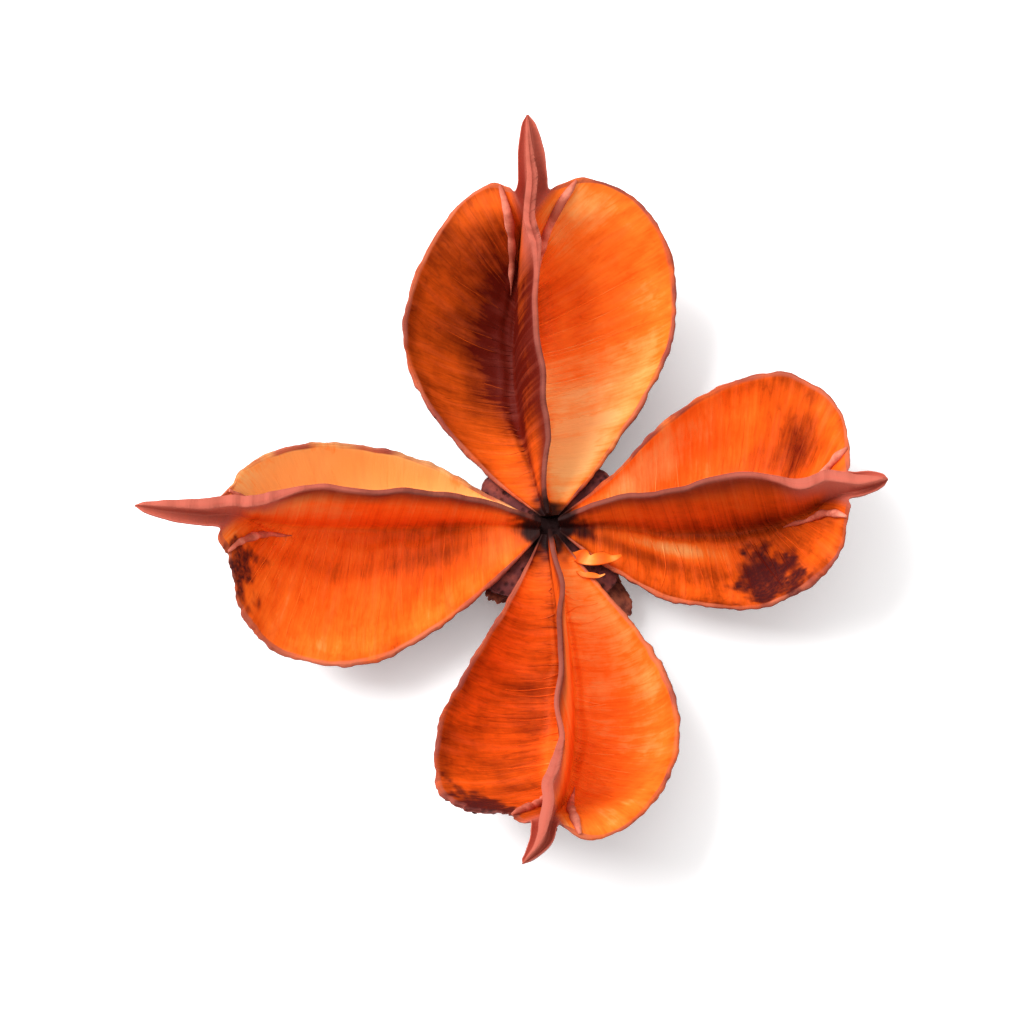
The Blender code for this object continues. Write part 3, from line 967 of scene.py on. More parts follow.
@dataclass
class ValveSkin:
    """Builds the fine skin of one valve, with its septum, rims and beak."""

    valve: Valve
    growth: HuskGrowth = GROWTH
    depth: float = field(init=False)
    places: Array = field(init=False)
    shares: Array = field(init=False)
    lining: Array = field(init=False)
    back: Array = field(init=False)
    tone: Array = field(init=False)

    def __post_init__(self) -> None:
        """Lays out the rows and columns and settles the keel's depth."""
        self.places = np.linspace(0.0, LAST_STATION, self.growth.rows)
        even = np.linspace(0.0, 1.0, self.growth.wall_columns)
        crowding = self.growth.column_crowding
        self.shares = even - crowding * np.sin(2.0 * math.pi * even) / math.pi
        self.depth = self.growth.keel_depth_guess
        for _ in range(DEPTH_ROUNDS):
            grid, _, _ = self.wall_grid(self.depth)
            outer = self.outer_face(grid)
            self.depth += self.valve.placed(outer)[:, :, 2].min() + self.growth.flat_cut

    def keel_height(self, depth: float, x: Array) -> Array:
        """Height of the inner keel at these distances along the valve."""
        line = self.valve.keel_line(depth, np.linspace(0.0, LAST_STATION, KEEL_POINTS))
        return np.interp(x, line[:, 0], line[:, 2])

    def fade(self, span: tuple[float, float, float, float]) -> Array:
        """1 on the rows inside a span of four stations and 0 outside it."""
        return eased(self.places, *span[:2]) * (1.0 - eased(self.places, *span[2:]))

    def ragged(self, side: Side, margin: Array, keel: Array) -> Array:
        """Gives the smooth margin its fine waves and its torn end.

        Args:
            side: Which lobe.
            margin: Points of the smooth margin.
            keel: Points of the keel on the same rows.

        Returns:
            The uneven margin.
        """
        grown, lobe = self.growth, self.valve.lobe(side)
        seed = self.valve.phase + 10.0 * side.value
        free = self.fade(grown.edge_span)
        out = margin - keel
        out /= np.maximum(np.linalg.norm(out, axis=1, keepdims=True), 1e-9)
        wave = grain(margin, grown.edge_size, seed) * free
        bay = np.minimum(grain(margin, 0.5 * grown.edge_size, seed + 7.0), 0.0) * free
        jag = np.abs(grain(margin, grown.torn_size, seed + 3.0)) + grown.torn_least
        outward = grown.edge_wave * (grown.wave_share * wave + grown.bay_share * bay)
        outward = outward - lobe.torn * jag * self.fade(grown.torn_span)
        points = margin + out * outward[:, None]
        points[:, 2] += grown.edge_wave * grain(margin, 1.3 * grown.edge_size, seed + 5.0) * free
        return points

    def wall_grid(self, depth: float) -> tuple[Array, Array, Array]:
        """The wall's inner face without the septum.

        Args:
            depth: How deep the keel is at its deepest.

        Returns:
            Points as rows by columns from the right margin to the left one, the half thickness of
            the septum on each row, and the share of the way to the margin of each point.
        """
        grown, valve = self.growth, self.valve
        keel = valve.keel_line(depth, self.places)
        spread = through([s.spread for s in STATIONS], self.places)[:, None]
        halves, ways = [], []
        half_septum = np.zeros((len(self.places), 1))
        for side in (Side.RIGHT, Side.LEFT):
            margin = valve.margin_line(side, self.places)
            margin = self.ragged(side, margin, keel)[:, None, :]
            run = margin - keel[:, None, :]
            width = np.linalg.norm(run[:, :, :2], axis=2)
            half_septum = np.minimum(0.5 * grown.septum, grown.narrow_septum * width)
            foot = grown.septum_foot * half_septum / width
            share = foot + (1.0 - foot) * self.shares[None, :]
            points = keel[:, None, :] + run * share[:, :, None]
            low = self.keel_height(depth, points[:, :, 0])
            points[:, :, 2] = low + (margin[:, :, 2] - low) * share**grown.trough
            sag = grown.fullness * spread * share**2 * (1.0 - share) / grown.sag_peak
            points[:, :, 2] -= sag
            halves.append(points)
            ways.append(share)
        grid = np.concatenate([halves[0][:, ::-1], keel[:, None, :], halves[1]], axis=1)
        zero = np.zeros((len(self.places), 1))
        way = np.concatenate([ways[0][:, ::-1], zero, ways[1]], axis=1)
        return grid, half_septum[:, 0], way

    def outer_face(self, grid: Array) -> Array:
        """The wall's smooth outer face.

        Args:
            grid: The inner face, as wall_grid gives it.

        Returns:
            The wall's thickness below it, and straight below it at the foot and the notch.
        """
        grown = self.growth
        columns = grid.shape[1]
        shares = np.abs(np.linspace(-1.0, 1.0, columns))
        thickness = grown.wall + (grown.wall_at_margin - grown.wall) * shares[None, :] ** 2
        to_beak = eased(self.places, *grown.beak)[:, None]
        thickness = thickness + (grown.wall_at_beak - thickness) * to_beak
        fold = 1.0 - eased(self.places, 0.0, grown.foot_end) + eased(self.places, *grown.notch)
        fold = fold[:, None, None]
        direction = facing(grid) * (1.0 - fold) + np.array([0.0, 0.0, 1.0]) * fold
        direction /= np.linalg.norm(direction, axis=2, keepdims=True)
        return grid - direction * thickness[:, :, None]

    def lining_relief(self, grid: Array, way: Array) -> Array:
        """Relief of the smooth papery lining, along the wall's facing.

        Args:
            grid: The inner face.
            way: Share of the way to the margin of each point.

        Returns:
            A height for each point.
        """
        grown, seed = self.growth, self.valve.phase
        side = np.sign(grid[:, :, 1])
        bend = grain(grid, grown.bend_size, seed + 20.0)
        x, y, z = np.moveaxis(grid, 2, 0)
        x = x + grown.wrinkle_bend * bend
        y = grown.wrinkle_squeeze * y + grown.lobes_apart * side
        stretched = np.stack([x, y, grown.wrinkle_squeeze * z], axis=2)
        streaks = grain(stretched, grown.wrinkle_size, seed)
        swells = grain(grid, grown.swell_size, seed + 40.0)
        by_septum = np.exp(-((way - grown.fold_middle) ** 2) / grown.fold_spread)
        folds = np.sin(way * grown.fold_turn + grown.fold_bend * bend) * by_septum
        inner = np.sqrt(np.sin(math.pi * np.clip(way, 0.0, 1.0)))
        relief = grown.wrinkle * streaks + grown.swell * swells * inner
        relief = relief + grown.fold * folds
        return relief * self.fade(grown.lining_span)[:, None]

    def crust_relief(self, outer: Array) -> Array:
        """Relief of the rough outer skin, along its facing.

        Args:
            outer: The smooth outer face.

        Returns:
            A height for each point.
        """
        grown, seed = self.growth, self.valve.phase + 60.0
        crumbs = grain(outer, grown.crumb_size, seed)
        rough = grain(outer, grown.crust_size, seed) + grown.crumb_share * crumbs
        seam = np.exp(-((outer[:, :, 1] / grown.back_seam_width) ** 2))
        past = 1.0 - grown.smoothed_beak * eased(self.places, *grown.crust_end)
        free = eased(self.places, *grown.crust_start) * past
        swells = grain(outer, grown.back_swell_size, seed)
        relief = grown.crust * rough + grown.back_swell * swells
        return (relief - grown.back_seam * seam) * free[:, None]

    def septum_sides(self, keel: Array, half_septum: Array) -> tuple[Array, Array]:
        """The septum's two sides and its crest.

        Args:
            keel: The foot line of the septum.
            half_septum: Its half thickness on each row.

        Returns:
            Points as rows by columns, from the right foot over the crest to the left foot, and the
            share of the climb of each column.
        """
        grown, valve, places = self.growth, self.valve, self.places
        height = through([s.crest for s in STATIONS], places) - keel[:, 2]
        aside = valve.waver * np.sin(grown.waver_turn * places + valve.phase)
        aside = aside + valve.bow(valve.lean, keel[:, 0])
        aside = aside * np.minimum(height / grown.waver_height, 1.0)
        fine = grain(keel, grown.crest_sway_size, valve.phase + 80.0)
        fine = fine * np.minimum(height / grown.crest_sway_height, 1.0)
        jag = grown.crest_jag * grain(keel, grown.crest_jag_size, valve.phase + 90.0)
        closing = 1.0 - grown.split_closes * eased(places, *grown.split_end)
        split = eased(places, *grown.split_start) * closing
        climbs = np.linspace(0.0, 1.0, grown.septum_columns + 1)[1:]
        columns, climbed = [], []

        def column(side: float, climb: float, thick: Array, drop: Array) -> None:
            """Adds one column of the septum.

            Args:
                side: -1 on its right side, 1 on its left one and 0 at its crest.
                climb: Share of the climb from foot to crest.
                thick: Share of the half thickness on each row.
                drop: How far the column lies below the smooth septum on each row.
            """
            points = keel.copy()
            wave = aside * climb**2 + grown.crest_sway * fine * climb**1.5
            points[:, 1] += side * half_septum * thick + wave
            points[:, 2] += height * climb + jag * climb**3 - drop
            columns.append(points)
            climbed.append(climb)

        level = 0.0 * height
        thicks = [1.0 - grown.septum_taper * c + split * grown.split_flare * c**3 for c in climbs]
        for climb, thick in zip(climbs, thicks):
            column(-1.0, climb, thick, level)
        column(0.0, 1.0, level, valve.cleft * split + grown.crest_dent)
        for climb, thick in zip(climbs[::-1], thicks[::-1]):
            column(1.0, climb, thick, level)
        return np.stack(columns, axis=1), np.array(climbed)

    def rim(self, inner: Array, outer: Array, inward: Array) -> list[Array]:
        """Rounds the wall's edge between its two faces.

        Args:
            inner: The inner face's edge.
            outer: The outer face's edge.
            inward: The next line of the inner face from its edge.

        Returns:
            Lines of points over the edge, from the inner face to the outer one.
        """
        out = inner - inward
        out /= np.maximum(np.linalg.norm(out, axis=1, keepdims=True), 1e-9)
        half = 0.5 * np.linalg.norm(outer - inner, axis=1, keepdims=True)
        count = self.growth.rim_columns
        puff = half * self.growth.rim_bulge
        lines = []
        for k in range(1, count + 1):
            share = k / (count + 1)
            bulge = math.sin(math.pi * share)
            lines.append(inner + (outer - inner) * share + out * puff * bulge)
        return lines

    def shade_and_tone_map(self, grid: Array, way: Array, side: Array) -> tuple[Array, Array]:
        """How much darker or paler the lining is at each point, partly painted light and shade.

        Args:
            grid: The inner face.
            way: Share of the way from the septum to the margin.
            side: 1 on the left lobe and -1 on the right one.

        Returns:
            Above 0 where it is darker and below 0 where it is paler, and 1 in the stains.
        """
        grown, valve = self.growth, self.valve
        tone = -np.where(side > 0.0, valve.left.tone, valve.right.tone)
        blot = 0.0 * tone
        places = self.places[:, None]
        coarse, fine = grown.blot_sizes
        warp = grain(grid, coarse, valve.phase + 30.0)
        warp = warp + grown.blot_fine * grain(grid, fine, valve.phase)
        for stain in valve.stains:
            along = (places - stain.place) / stain.long
            across = (way - stain.share) / stain.wide
            here = side * stain.side.value > 0.0
            if stain.deep > DEEP_STAIN:
                away = np.hypot(along, across) + grown.blot_ragged * warp
                inside = 1.0 - eased(away, *grown.blot_edge)
                blot = np.maximum(blot, stain.deep * inside * here)
            else:
                tone = tone + stain.deep * np.exp(-(along**2) - across**2) * here
        return tone, blot

    def skin(self) -> Skin:
        """The whole valve.

        Returns:
            Its skin in the row frame, with the marks that the finish reads.
        """
        grown = self.growth
        grid, half_septum, way = self.wall_grid(self.depth)
        smooth_outer = self.outer_face(grid)
        inner = grid + facing(grid) * self.lining_relief(grid, way)[:, :, None]
        outer = smooth_outer - facing(smooth_outer) * self.crust_relief(smooth_outer)[:, :, None]
        self.lining, self.back = self.valve.placed(inner), self.valve.placed(outer)
        middle = grid.shape[1] // 2
        rows = len(self.places)
        septum, climbs = self.septum_sides(grid[:, middle], half_septum)
        side = np.sign(np.arange(grid.shape[1]) - middle)[None, :] * np.ones((rows, 1))
        tone, blot = self.shade_and_tone_map(grid, way, side)
        self.tone = tone + grown.blot_tone * blot
        across = side * np.linalg.norm(grid - grid[:, middle : middle + 1], axis=2) * FLOW_SCALE
        one, zero = np.ones(rows), np.zeros(rows)
        lines: list[Array] = []
        kinds = ("way", "outside", "climb", "dark", "blot", "across")
        marks: dict[str, list[Array]] = {kind: [] for kind in kinds}

        def strip(line: Array, **values: Array) -> None:
            """Adds one line of points and its marks, which are 0 where they aren't given."""
            lines.append(line)
            for kind, column in marks.items():
                column.append(values.get(kind, zero))

        def walled(line: Array, j: int, **values: Array) -> None:
            """Adds one line of the wall, with the marks of its column j but for those given."""
            own = {"way": way[:, j], "dark": tone[:, j], "blot": blot[:, j], "across": across[:, j]}
            strip(line, **{**own, **values})

        for j in range(middle):
            walled(inner[:, j], j)
        for j, climb in enumerate(climbs):
            half = -1 if j <= len(climbs) // 2 else 1
            flank = half * climb * grown.septum_flow * one
            strip(septum[:, j], climb=climb * one, dark=tone[:, middle + half], across=flank)
        last = grid.shape[1] - 1
        for j in range(middle + 1, last + 1):
            walled(inner[:, j], j)
        for line in self.rim(inner[:, last], outer[:, last], inner[:, last - 1]):
            walled(line, last, way=one, outside=0.5 * one)
        for j in range(last, -1, -1):
            walled(outer[:, j], j, outside=one, blot=zero)
        for line in reversed(self.rim(inner[:, 0], outer[:, 0], inner[:, 1])):
            walled(line, 0, way=one, outside=0.5 * one)
        points = np.stack(lines, axis=1)
        heart = points.mean(axis=1, keepdims=True)
        taper = 1.0 - grown.tip_taper * eased(self.places, *grown.tip_span)[:, None, None] ** 2
        points = heart + (points - heart) * taper
        points[0, :, 0] = grid[0, middle, 0]
        points[-1, :, 0] = grid[-1, middle, 0]
        placed = self.valve.placed(points)
        placed[:, :, 2] = np.maximum(placed[:, :, 2], 0.0)
        stacked = {kind: np.stack(column, axis=1) for kind, column in marks.items()}
        # Painted shade of the boll's middle.
        stacked["pit_shade"] = PIT_SHADE.mark(placed)
        stacked["length"] = np.repeat(self.places[:, None] / LAST_STATION, len(lines), axis=1)
        along = np.repeat(grid[:, middle, :1] * FLOW_SCALE, len(lines), axis=1)
        flow = np.stack([stacked.pop("across") + self.valve.phase, along], axis=2)
        return Skin(placed, stacked, flow)


@dataclass(frozen=True)
class HuskFinish:
    """Satin orange lining, brick rims and septum, and a rough maroon back."""

    deep: Colour = (0.110, 0.006, 0.002)
    red: Colour = (0.43, 0.054, 0.004)
    orange: Colour = (0.82, 0.110, 0.007)
    bright: Colour = (0.98, 0.185, 0.017)
    pale: Colour = (1.00, 0.41, 0.110)
    cream: Colour = (1.00, 0.54, 0.19)
    rim: Colour = (0.56, 0.130, 0.058)
    septum: Colour = (0.25, 0.030, 0.012)
    crest: Colour = (0.22, 0.060, 0.044)
    beak: Colour = (0.50, 0.115, 0.076)
    back: Colour = (0.115, 0.026, 0.026)
    # Painted shade: the colour of the boll's middle and of the small pits of the back.
    pit_shade: Colour = (0.012, 0.004, 0.004)
    brick: Colour = (0.27, 0.055, 0.038)
    blot: Colour = (0.060, 0.010, 0.010)

    def material(self) -> bpy.types.Material:
        """Builds the finish.

        Returns:
            The material of the whole husk.
        """
        sheet = Sheet("husk", gloss=0.08)
        place = sheet.place()
        clouds = sheet.noise(place, scale=190.0, detail=3.0, rough=0.55)
        streaks = sheet.drawn(across=1.6, along=17.0, detail=3.0, rough=0.55)
        fine = sheet.drawn(across=5.0, along=60.0)
        flecks = sheet.noise(place, scale=2600.0, detail=2.0)
        pits = sheet.cells(place, 1500.0).step(0.10, 0.46)
        edge = self.edge(sheet)
        inner = self.lining(sheet, self.glow(sheet, clouds, streaks, fine))
        inner = self.with_septum(sheet, inner, clouds, streaks)
        inner = self.with_rim(sheet, inner, edge)
        to_beak = (sheet.mark("length").step(0.66, 0.76) + 0.5 * (streaks - 0.5)).within()
        inner = sheet.blend(to_beak, inner, self.beak)
        blotted = (sheet.mark("blot") * (0.35 + 1.1 * flecks)).within()
        inner = sheet.blend(blotted, inner, self.blot)
        outside = sheet.mark("outside").step(0.35, 0.75)
        colour = sheet.blend(outside, inner, self.bark(sheet, pits))
        # Painted shade: the middle of the boll goes nearly black.
        colour = sheet.blend(sheet.mark("pit_shade").step(0.35, 0.90) * 0.96, colour, self.pit_shade)
        on_septum = sheet.mark("climb").step(0.5, 1.0)
        rough_in = 0.50 + 0.20 * (streaks - 0.5) + 0.16 * on_septum + 0.12 * edge
        rough_out = 0.72 + 0.2 * (flecks - 0.5)
        relief_in = 0.42 * streaks + 0.22 * fine + 0.10 * flecks
        relief_out = 0.75 * pits + 0.35 * flecks
        roughness = outside.between(rough_in, rough_out)
        sheet.finish(colour, roughness, outside.between(relief_in, relief_out), 0.14 * MM)
        return sheet.material

    def with_septum(self, sheet: Sheet, inner: Wire, clouds: Wire, streaks: Wire) -> Wire:
        """Lays the septum's colours over the lining's.

        Args:
            sheet: The sheet to build on.
            inner: Colour of the lining.
            clouds: Soft noise in space.
            streaks: Noise drawn out from the septum to the margin.

        Returns:
            The colour of both.
        """
        climb, length = sheet.mark("climb"), sheet.mark("length")
        wood = sheet.blend((1.7 * sheet.mark("dark")).within(), self.septum, self.deep)
        to_wood = (climb.step(0.55, 1.0) + 0.7 * (clouds - 0.5)).within()
        flank = sheet.blend(to_wood, inner, wood)
        inner = sheet.blend(climb.step(0.02, 0.35), inner, flank)
        lines = sheet.drawn(across=60.0, along=1.5)
        crest = (climb.step(0.94, 1.0) * (0.1 + 1.3 * lines)).within()
        ridge = sheet.blend(length.step(0.20, 0.55), self.crest, self.beak)
        inner = sheet.blend(crest, inner, ridge)
        near_notch = climb.step(0.20, 0.75) * length.step(0.48, 0.64)
        return sheet.blend((near_notch * (0.35 + 1.0 * streaks)).within(), inner, self.beak)

    def edge(self, sheet: Sheet) -> Wire:
        """How much of the rim's colours shows.

        Args:
            sheet: The sheet to build on.

        Returns:
            Up to 1 in patches at the margin, and 0 away from it.
        """
        patchy = sheet.noise(sheet.place(), scale=330.0, detail=2.0).step(0.30, 0.62)
        near = sheet.mark("way") + 0.10 * sheet.mark("length").step(0.56, 0.66)
        return near.step(0.980, 1.0) * (0.25 + 0.75 * patchy)

    def with_rim(self, sheet: Sheet, inner: Wire, edge: Wire) -> Wire:
        """Lays the rim's two colours over the lining's, as far as edge says: brick, partly painted
        shade, and salmon.
        """
        paler = sheet.noise(sheet.place(), scale=110.0, detail=2.0).step(0.40, 0.58)
        # Painted shade in part: the brick patches stand for the wall's edge in shade.
        return sheet.blend(edge, inner, sheet.blend(paler, self.brick, self.rim))

    def bark(self, sheet: Sheet, pits: Wire) -> Wire:
        """Colour of the rough back.

        Args:
            sheet: The sheet to build on.
            pits: 0 in its small pits and 1 between them.

        Returns:
            The colour, worn brick red in patches and towards the margin, with painted shade in its
            small pits.
        """
        worn = sheet.noise(sheet.place(), scale=420.0, detail=5.0, rough=0.65).step(0.42, 0.72)
        worn = (worn + sheet.mark("way").step(0.78, 1.0)).within()
        back = sheet.blend(worn, self.back, self.brick)
        # Painted shade: the small pits go nearly black.
        return sheet.blend((1.0 - pits) * 0.75, back, self.pit_shade)

    def glow(self, sheet: Sheet, clouds: Wire, streaks: Wire, fine: Wire) -> Wire:
        """How bright the lining is, with painted shade in the trough beside the septum and in the
        middle of the boll.

        Args:
            sheet: The sheet to build on.
            clouds: Soft noise in space.
            streaks: Noise drawn out from the septum to the margin.
            fine: Finer noise of the same kind.

        Returns:
            From 0 in the deepest red to 1 in the palest orange.
        """
        way, length = sheet.mark("way"), sheet.mark("length")
        bands = sheet.drawn(across=0.7, along=5.0)
        worn = sheet.noise(sheet.place(), scale=620.0, detail=5.0, rough=0.72)
        flank = sheet.mark("climb").step(0.05, 0.45)
        # Painted shade: darker in the trough beside the septum's foot, less so up its flanks.
        trough = (1.0 - way.step(0.0, 0.36)) * (1.0 - 1.5 * flank)
        creases = sheet.drawn(across=1.3, along=9.0, rough=0.6).ridge(0.03)
        glow = 0.57 + 0.05 * way.step(0.50, 0.88) - 0.18 * trough - sheet.mark("dark")
        glow = glow - 0.12 * way.step(0.86, 1.0)
        # Painted shade in the middle of the boll; the blots are the husk's own.
        glow = glow - 0.42 * sheet.mark("pit_shade") - 0.22 * sheet.mark("blot")
        glow = glow + 0.46 * (clouds - 0.5) + 0.32 * (bands - 0.5) + 0.34 * (streaks - 0.5)
        glow = glow + 0.20 * (fine - 0.5) + 0.26 * (worn - 0.5) - 0.05 * creases
        return (glow + 0.05 * (1.0 - length.step(0.08, 0.32))).within()

    def lining(self, sheet: Sheet, glow: Wire) -> Wire:
        """Colour of the lining.

        Args:
            sheet: The sheet to build on.
            glow: How bright it is, from 0 to 1.

        Returns:
            The colour, from the deepest red to cream.
        """
        stops = [
            (0.04, self.deep),
            (0.26, self.red),
            (0.46, self.orange),
            (0.66, self.bright),
            (0.90, self.pale),
            (1.00, self.cream),
        ]
        return sheet.ramp(glow, stops)


@dataclass(frozen=True)
class Cup:
    """The cup that the valves grow from.

    rings holds points down its inside and back under its outside, in millimetres, as radius and
    height from the chord under a keel, then between two valves.
    """

    rings: tuple[tuple[float, float, float, float], ...] = (
        (0.15, -4.8, 0.15, -4.8),
        (1.6, -5.0, 1.8, -4.9),
        (3.2, -5.5, 4.4, -5.1),
        (4.4, -6.0, 6.6, -5.3),
        (5.0, -6.3, 7.1, -5.8),
        (4.7, -6.9, 6.4, -6.4),
        (3.0, -7.1, 3.4, -6.9),
        (0.15, -7.1, 0.15, -7.1),
    )
    around: int = 160
    steps: int = 40
    crumple: float = 0.22 * MM
    crumple_size: float = 0.9 * MM
    sunk: float = 0.7 * MM
    lip: tuple[float, float] = (3.6, 4.6)
    flow_turn: float = 0.3
    way: float = 0.5
    length: float = 0.1

    def skin(self) -> Skin:
        """The cup's closed skin.

        Returns:
            Its skin in the row frame, with the marks that the husk's finish reads.
        """
        places = np.linspace(0.0, len(self.rings) - 1.0, self.steps)
        angle = np.linspace(0.0, 2.0 * math.pi, self.around, endpoint=False)[None, :]
        gap = between_valves(angle)
        columns = [through(line, places)[:, None] * MM for line in zip(*self.rings)]
        keel_radius, keel_height, gap_radius, gap_height = columns
        radius = keel_radius + (gap_radius - keel_radius) * gap
        height = keel_height + (gap_height - keel_height) * gap
        under = np.repeat(eased(places, *self.lip)[:, None], self.around, axis=1)
        points = AXIS.round_point(radius, angle, height - self.sunk * (1.0 - under))
        points = points + self.crumple * grain(points, self.crumple_size, 5.0)[:, :, None]
        same = {"way": self.way, "outside": 1.0, "climb": 0.0, "dark": 0.0, "blot": 0.0}
        same["length"] = self.length
        marks = {kind: np.full_like(radius, value) for kind, value in same.items()}
        # Painted shade of the boll's middle, as on the valves.
        marks["pit_shade"] = PIT_SHADE.mark(points)
        turn = np.broadcast_to(self.flow_turn * angle, radius.shape)
        return Skin(points, marks, np.stack([turn, radius * FLOW_SCALE], axis=2))


def between_valves(angle: Array) -> Array:
    """Where a direction lies between two valves.

    Args:
        angle: Directions in radians.

    Returns:
        0 over a valve's keel and 1 halfway to the next valve.
    """
    bearings = [valve.bearing for valve in VALVES]
    found = np.zeros_like(angle)
    for start, end in zip(bearings, bearings[1:] + [bearings[0] + 360.0]):
        past = (np.degrees(angle) - start) % 360.0
        wave = 0.5 - 0.5 * np.cos(2.0 * math.pi * past / (end - start))
        found = np.where(past < end - start, wave, found)
    return found


def read_grid(grid: Array, rows: Array, columns: Array) -> Array:
    """Reads a grid between its points.

    Args:
        grid: Rows by columns of values.
        rows: Places along the rows.
        columns: Places along the columns.

    Returns:
        A value for each pair of places.
    """
    row = np.clip(rows.astype(int), 0, grid.shape[0] - 2)
    column = np.clip(columns.astype(int), 0, grid.shape[1] - 2)
    extra = (1,) * (grid.ndim - 2)
    down = (rows - row).reshape(*rows.shape, *extra)
    over = (columns - column).reshape(*columns.shape, *extra)
    upper = grid[row, column] * (1.0 - over) + grid[row, column + 1] * over
    lower = grid[row + 1, column] * (1.0 - over) + grid[row + 1, column + 1] * over
    return upper * (1.0 - down) + lower * down


def strand_mesh(name: str, points: Array, marks: dict[str, Array]) -> bpy.types.Mesh:
    """Lines of points with numbers on them.

    Args:
        name: Name of the mesh.
        points: Strands by points by coordinates.
        marks: Named numbers for each point.

    Returns:
        The mesh, with edges alone.
    """
    count, length = points.shape[:2]
    start = (np.arange(count)[:, None] * length + np.arange(length - 1)[None, :]).ravel()
    mesh = bpy.data.meshes.new(name)
    mesh.from_pydata(points.reshape(-1, 3).tolist(), np.stack([start, start + 1], 1).tolist(), [])
    for key, values in marks.items():
        mark = mesh.attributes.new(key, "FLOAT", "POINT")
        mark.data.foreach_set("value", values.astype(np.float32).ravel())
    return mesh


def strand_grower() -> Grower:
    """Tree that gives strands a body: an oval profile, as wide at each point as its girth.

    Returns:
        The tree, closed.
    """
    inputs = {"Sides": "NodeSocketInt", "Flatness": "NodeSocketFloat"}
    grower = Grower("strands", inputs)
    curve = grower.node("GeometryNodeMeshToCurve", {}, {"Mesh": grower.given("Geometry")})
    round_values = {"Resolution": grower.given("Sides"), "Radius": 1.0}
    circle = grower.node("GeometryNodeCurvePrimitiveCircle", {}, round_values)
    squash_values = {"X": 1.0, "Y": grower.given("Flatness"), "Z": 1.0}
    squash = grower.node("ShaderNodeCombineXYZ", {}, squash_values)
    profile = grower.node("GeometryNodeTransform", {}, {"Geometry": circle, "Scale": squash})
    values = {"Curve": curve, "Profile Curve": profile, "Scale": grower.stored("girth")}
    grower.close(grower.node("GeometryNodeCurveToMesh", {}, {**values, "Fill Caps": True}))
    return grower


@dataclass(frozen=True)
class Strand:
    """The body that strands are given: how flat its profile is and how many sides it has."""

    flatness: float
    sides: int

    def build(
        self, name: str, points: Array, marks: dict[str, Array], material: bpy.types.Material
    ) -> None:
        """Builds, dresses and fixes strands of the husk as one piece.

        Args:
            name: Name of the piece.
            points: Strands by points by coordinates.
            marks: Named numbers for each point, with the girth among them.
            material: Their finish.
        """
        bed = strand_mesh(name + "_lines", points, marks)
        values = {"Sides": self.sides, "Flatness": self.flatness, "Material": material}
        settle(strand_grower().grow(name, bed, values), material, "capsule")


# Warts to a square metre before those that are too close are taken out.
DENSEST = 4.0e6


def gland_grower() -> Grower:
    """Tree that scatters small flattened warts over a skin, none closer than a given distance.

    Returns:
        The tree, closed.
    """
    inputs = {
        "Distance": "NodeSocketFloat",
        "Smallest": "NodeSocketFloat",
        "Largest": "NodeSocketFloat",
        "Flatness": "NodeSocketFloat",
        "Seed": "NodeSocketInt",
    }
    grower = Grower("glands", inputs)
    bed = grower.given("Geometry")
    scatter = {
        "Mesh": bed,
        "Distance Min": grower.given("Distance"),
        "Density Max": DENSEST,
        "Seed": grower.given("Seed"),
    }
    settings = {"distribute_method": "POISSON"}
    points = grower.node("GeometryNodeDistributePointsOnFaces", settings, scatter, "Points")
    turn = Wire(grower, points.socket.node.outputs["Rotation"])
    span = {
        "Min": grower.given("Smallest"),
        "Max": grower.given("Largest"),
        "Seed": grower.given("Seed"),
    }
    size = grower.node("FunctionNodeRandomValue", {"data_type": "FLOAT"}, span, "Value")
    height = size * grower.given("Flatness")
    scale = grower.node("ShaderNodeCombineXYZ", {}, {"X": size, "Y": size, "Z": height})
    wart = grower.node("GeometryNodeMeshIcoSphere", {}, {"Radius": 1.0, "Subdivisions": 1}, "Mesh")
    values = {"Points": points, "Instance": wart, "Rotation": turn, "Scale": scale}
    grower.close(grower.node("GeometryNodeInstanceOnPoints", {}, values))
    return grower


@dataclass(frozen=True)
class ThreadFinish:
    """Thin papery threads in the colours of the lining."""

    def material(self, husk: HuskFinish) -> bpy.types.Material:
        """Builds the finish.

        Args:
            husk: The husk's finish, for its colours.

        Returns:
            The material.
        """
        sheet = Sheet("lining_thread", gloss=0.14)
        clouds = sheet.noise(sheet.place(), scale=190.0, detail=3.0, rough=0.55)
        worn = sheet.noise(sheet.place(), scale=1100.0, detail=3.0)
        glow = 0.62 - sheet.mark("dark") + 0.46 * (clouds - 0.5) + 0.30 * (worn - 0.5)
        # Painted shade: the threads darken nearly to black in the middle of the boll.
        colour = husk.lining(sheet, (glow - 0.42 * sheet.mark("pit_shade")).within())
        colour = sheet.blend(sheet.mark("pit_shade").step(0.45, 0.95) * 0.9, colour, husk.pit_shade)
        sheet.finish(colour, 0.55 + 0.2 * (worn - 0.5), worn, 0.04 * MM)
        return sheet.material


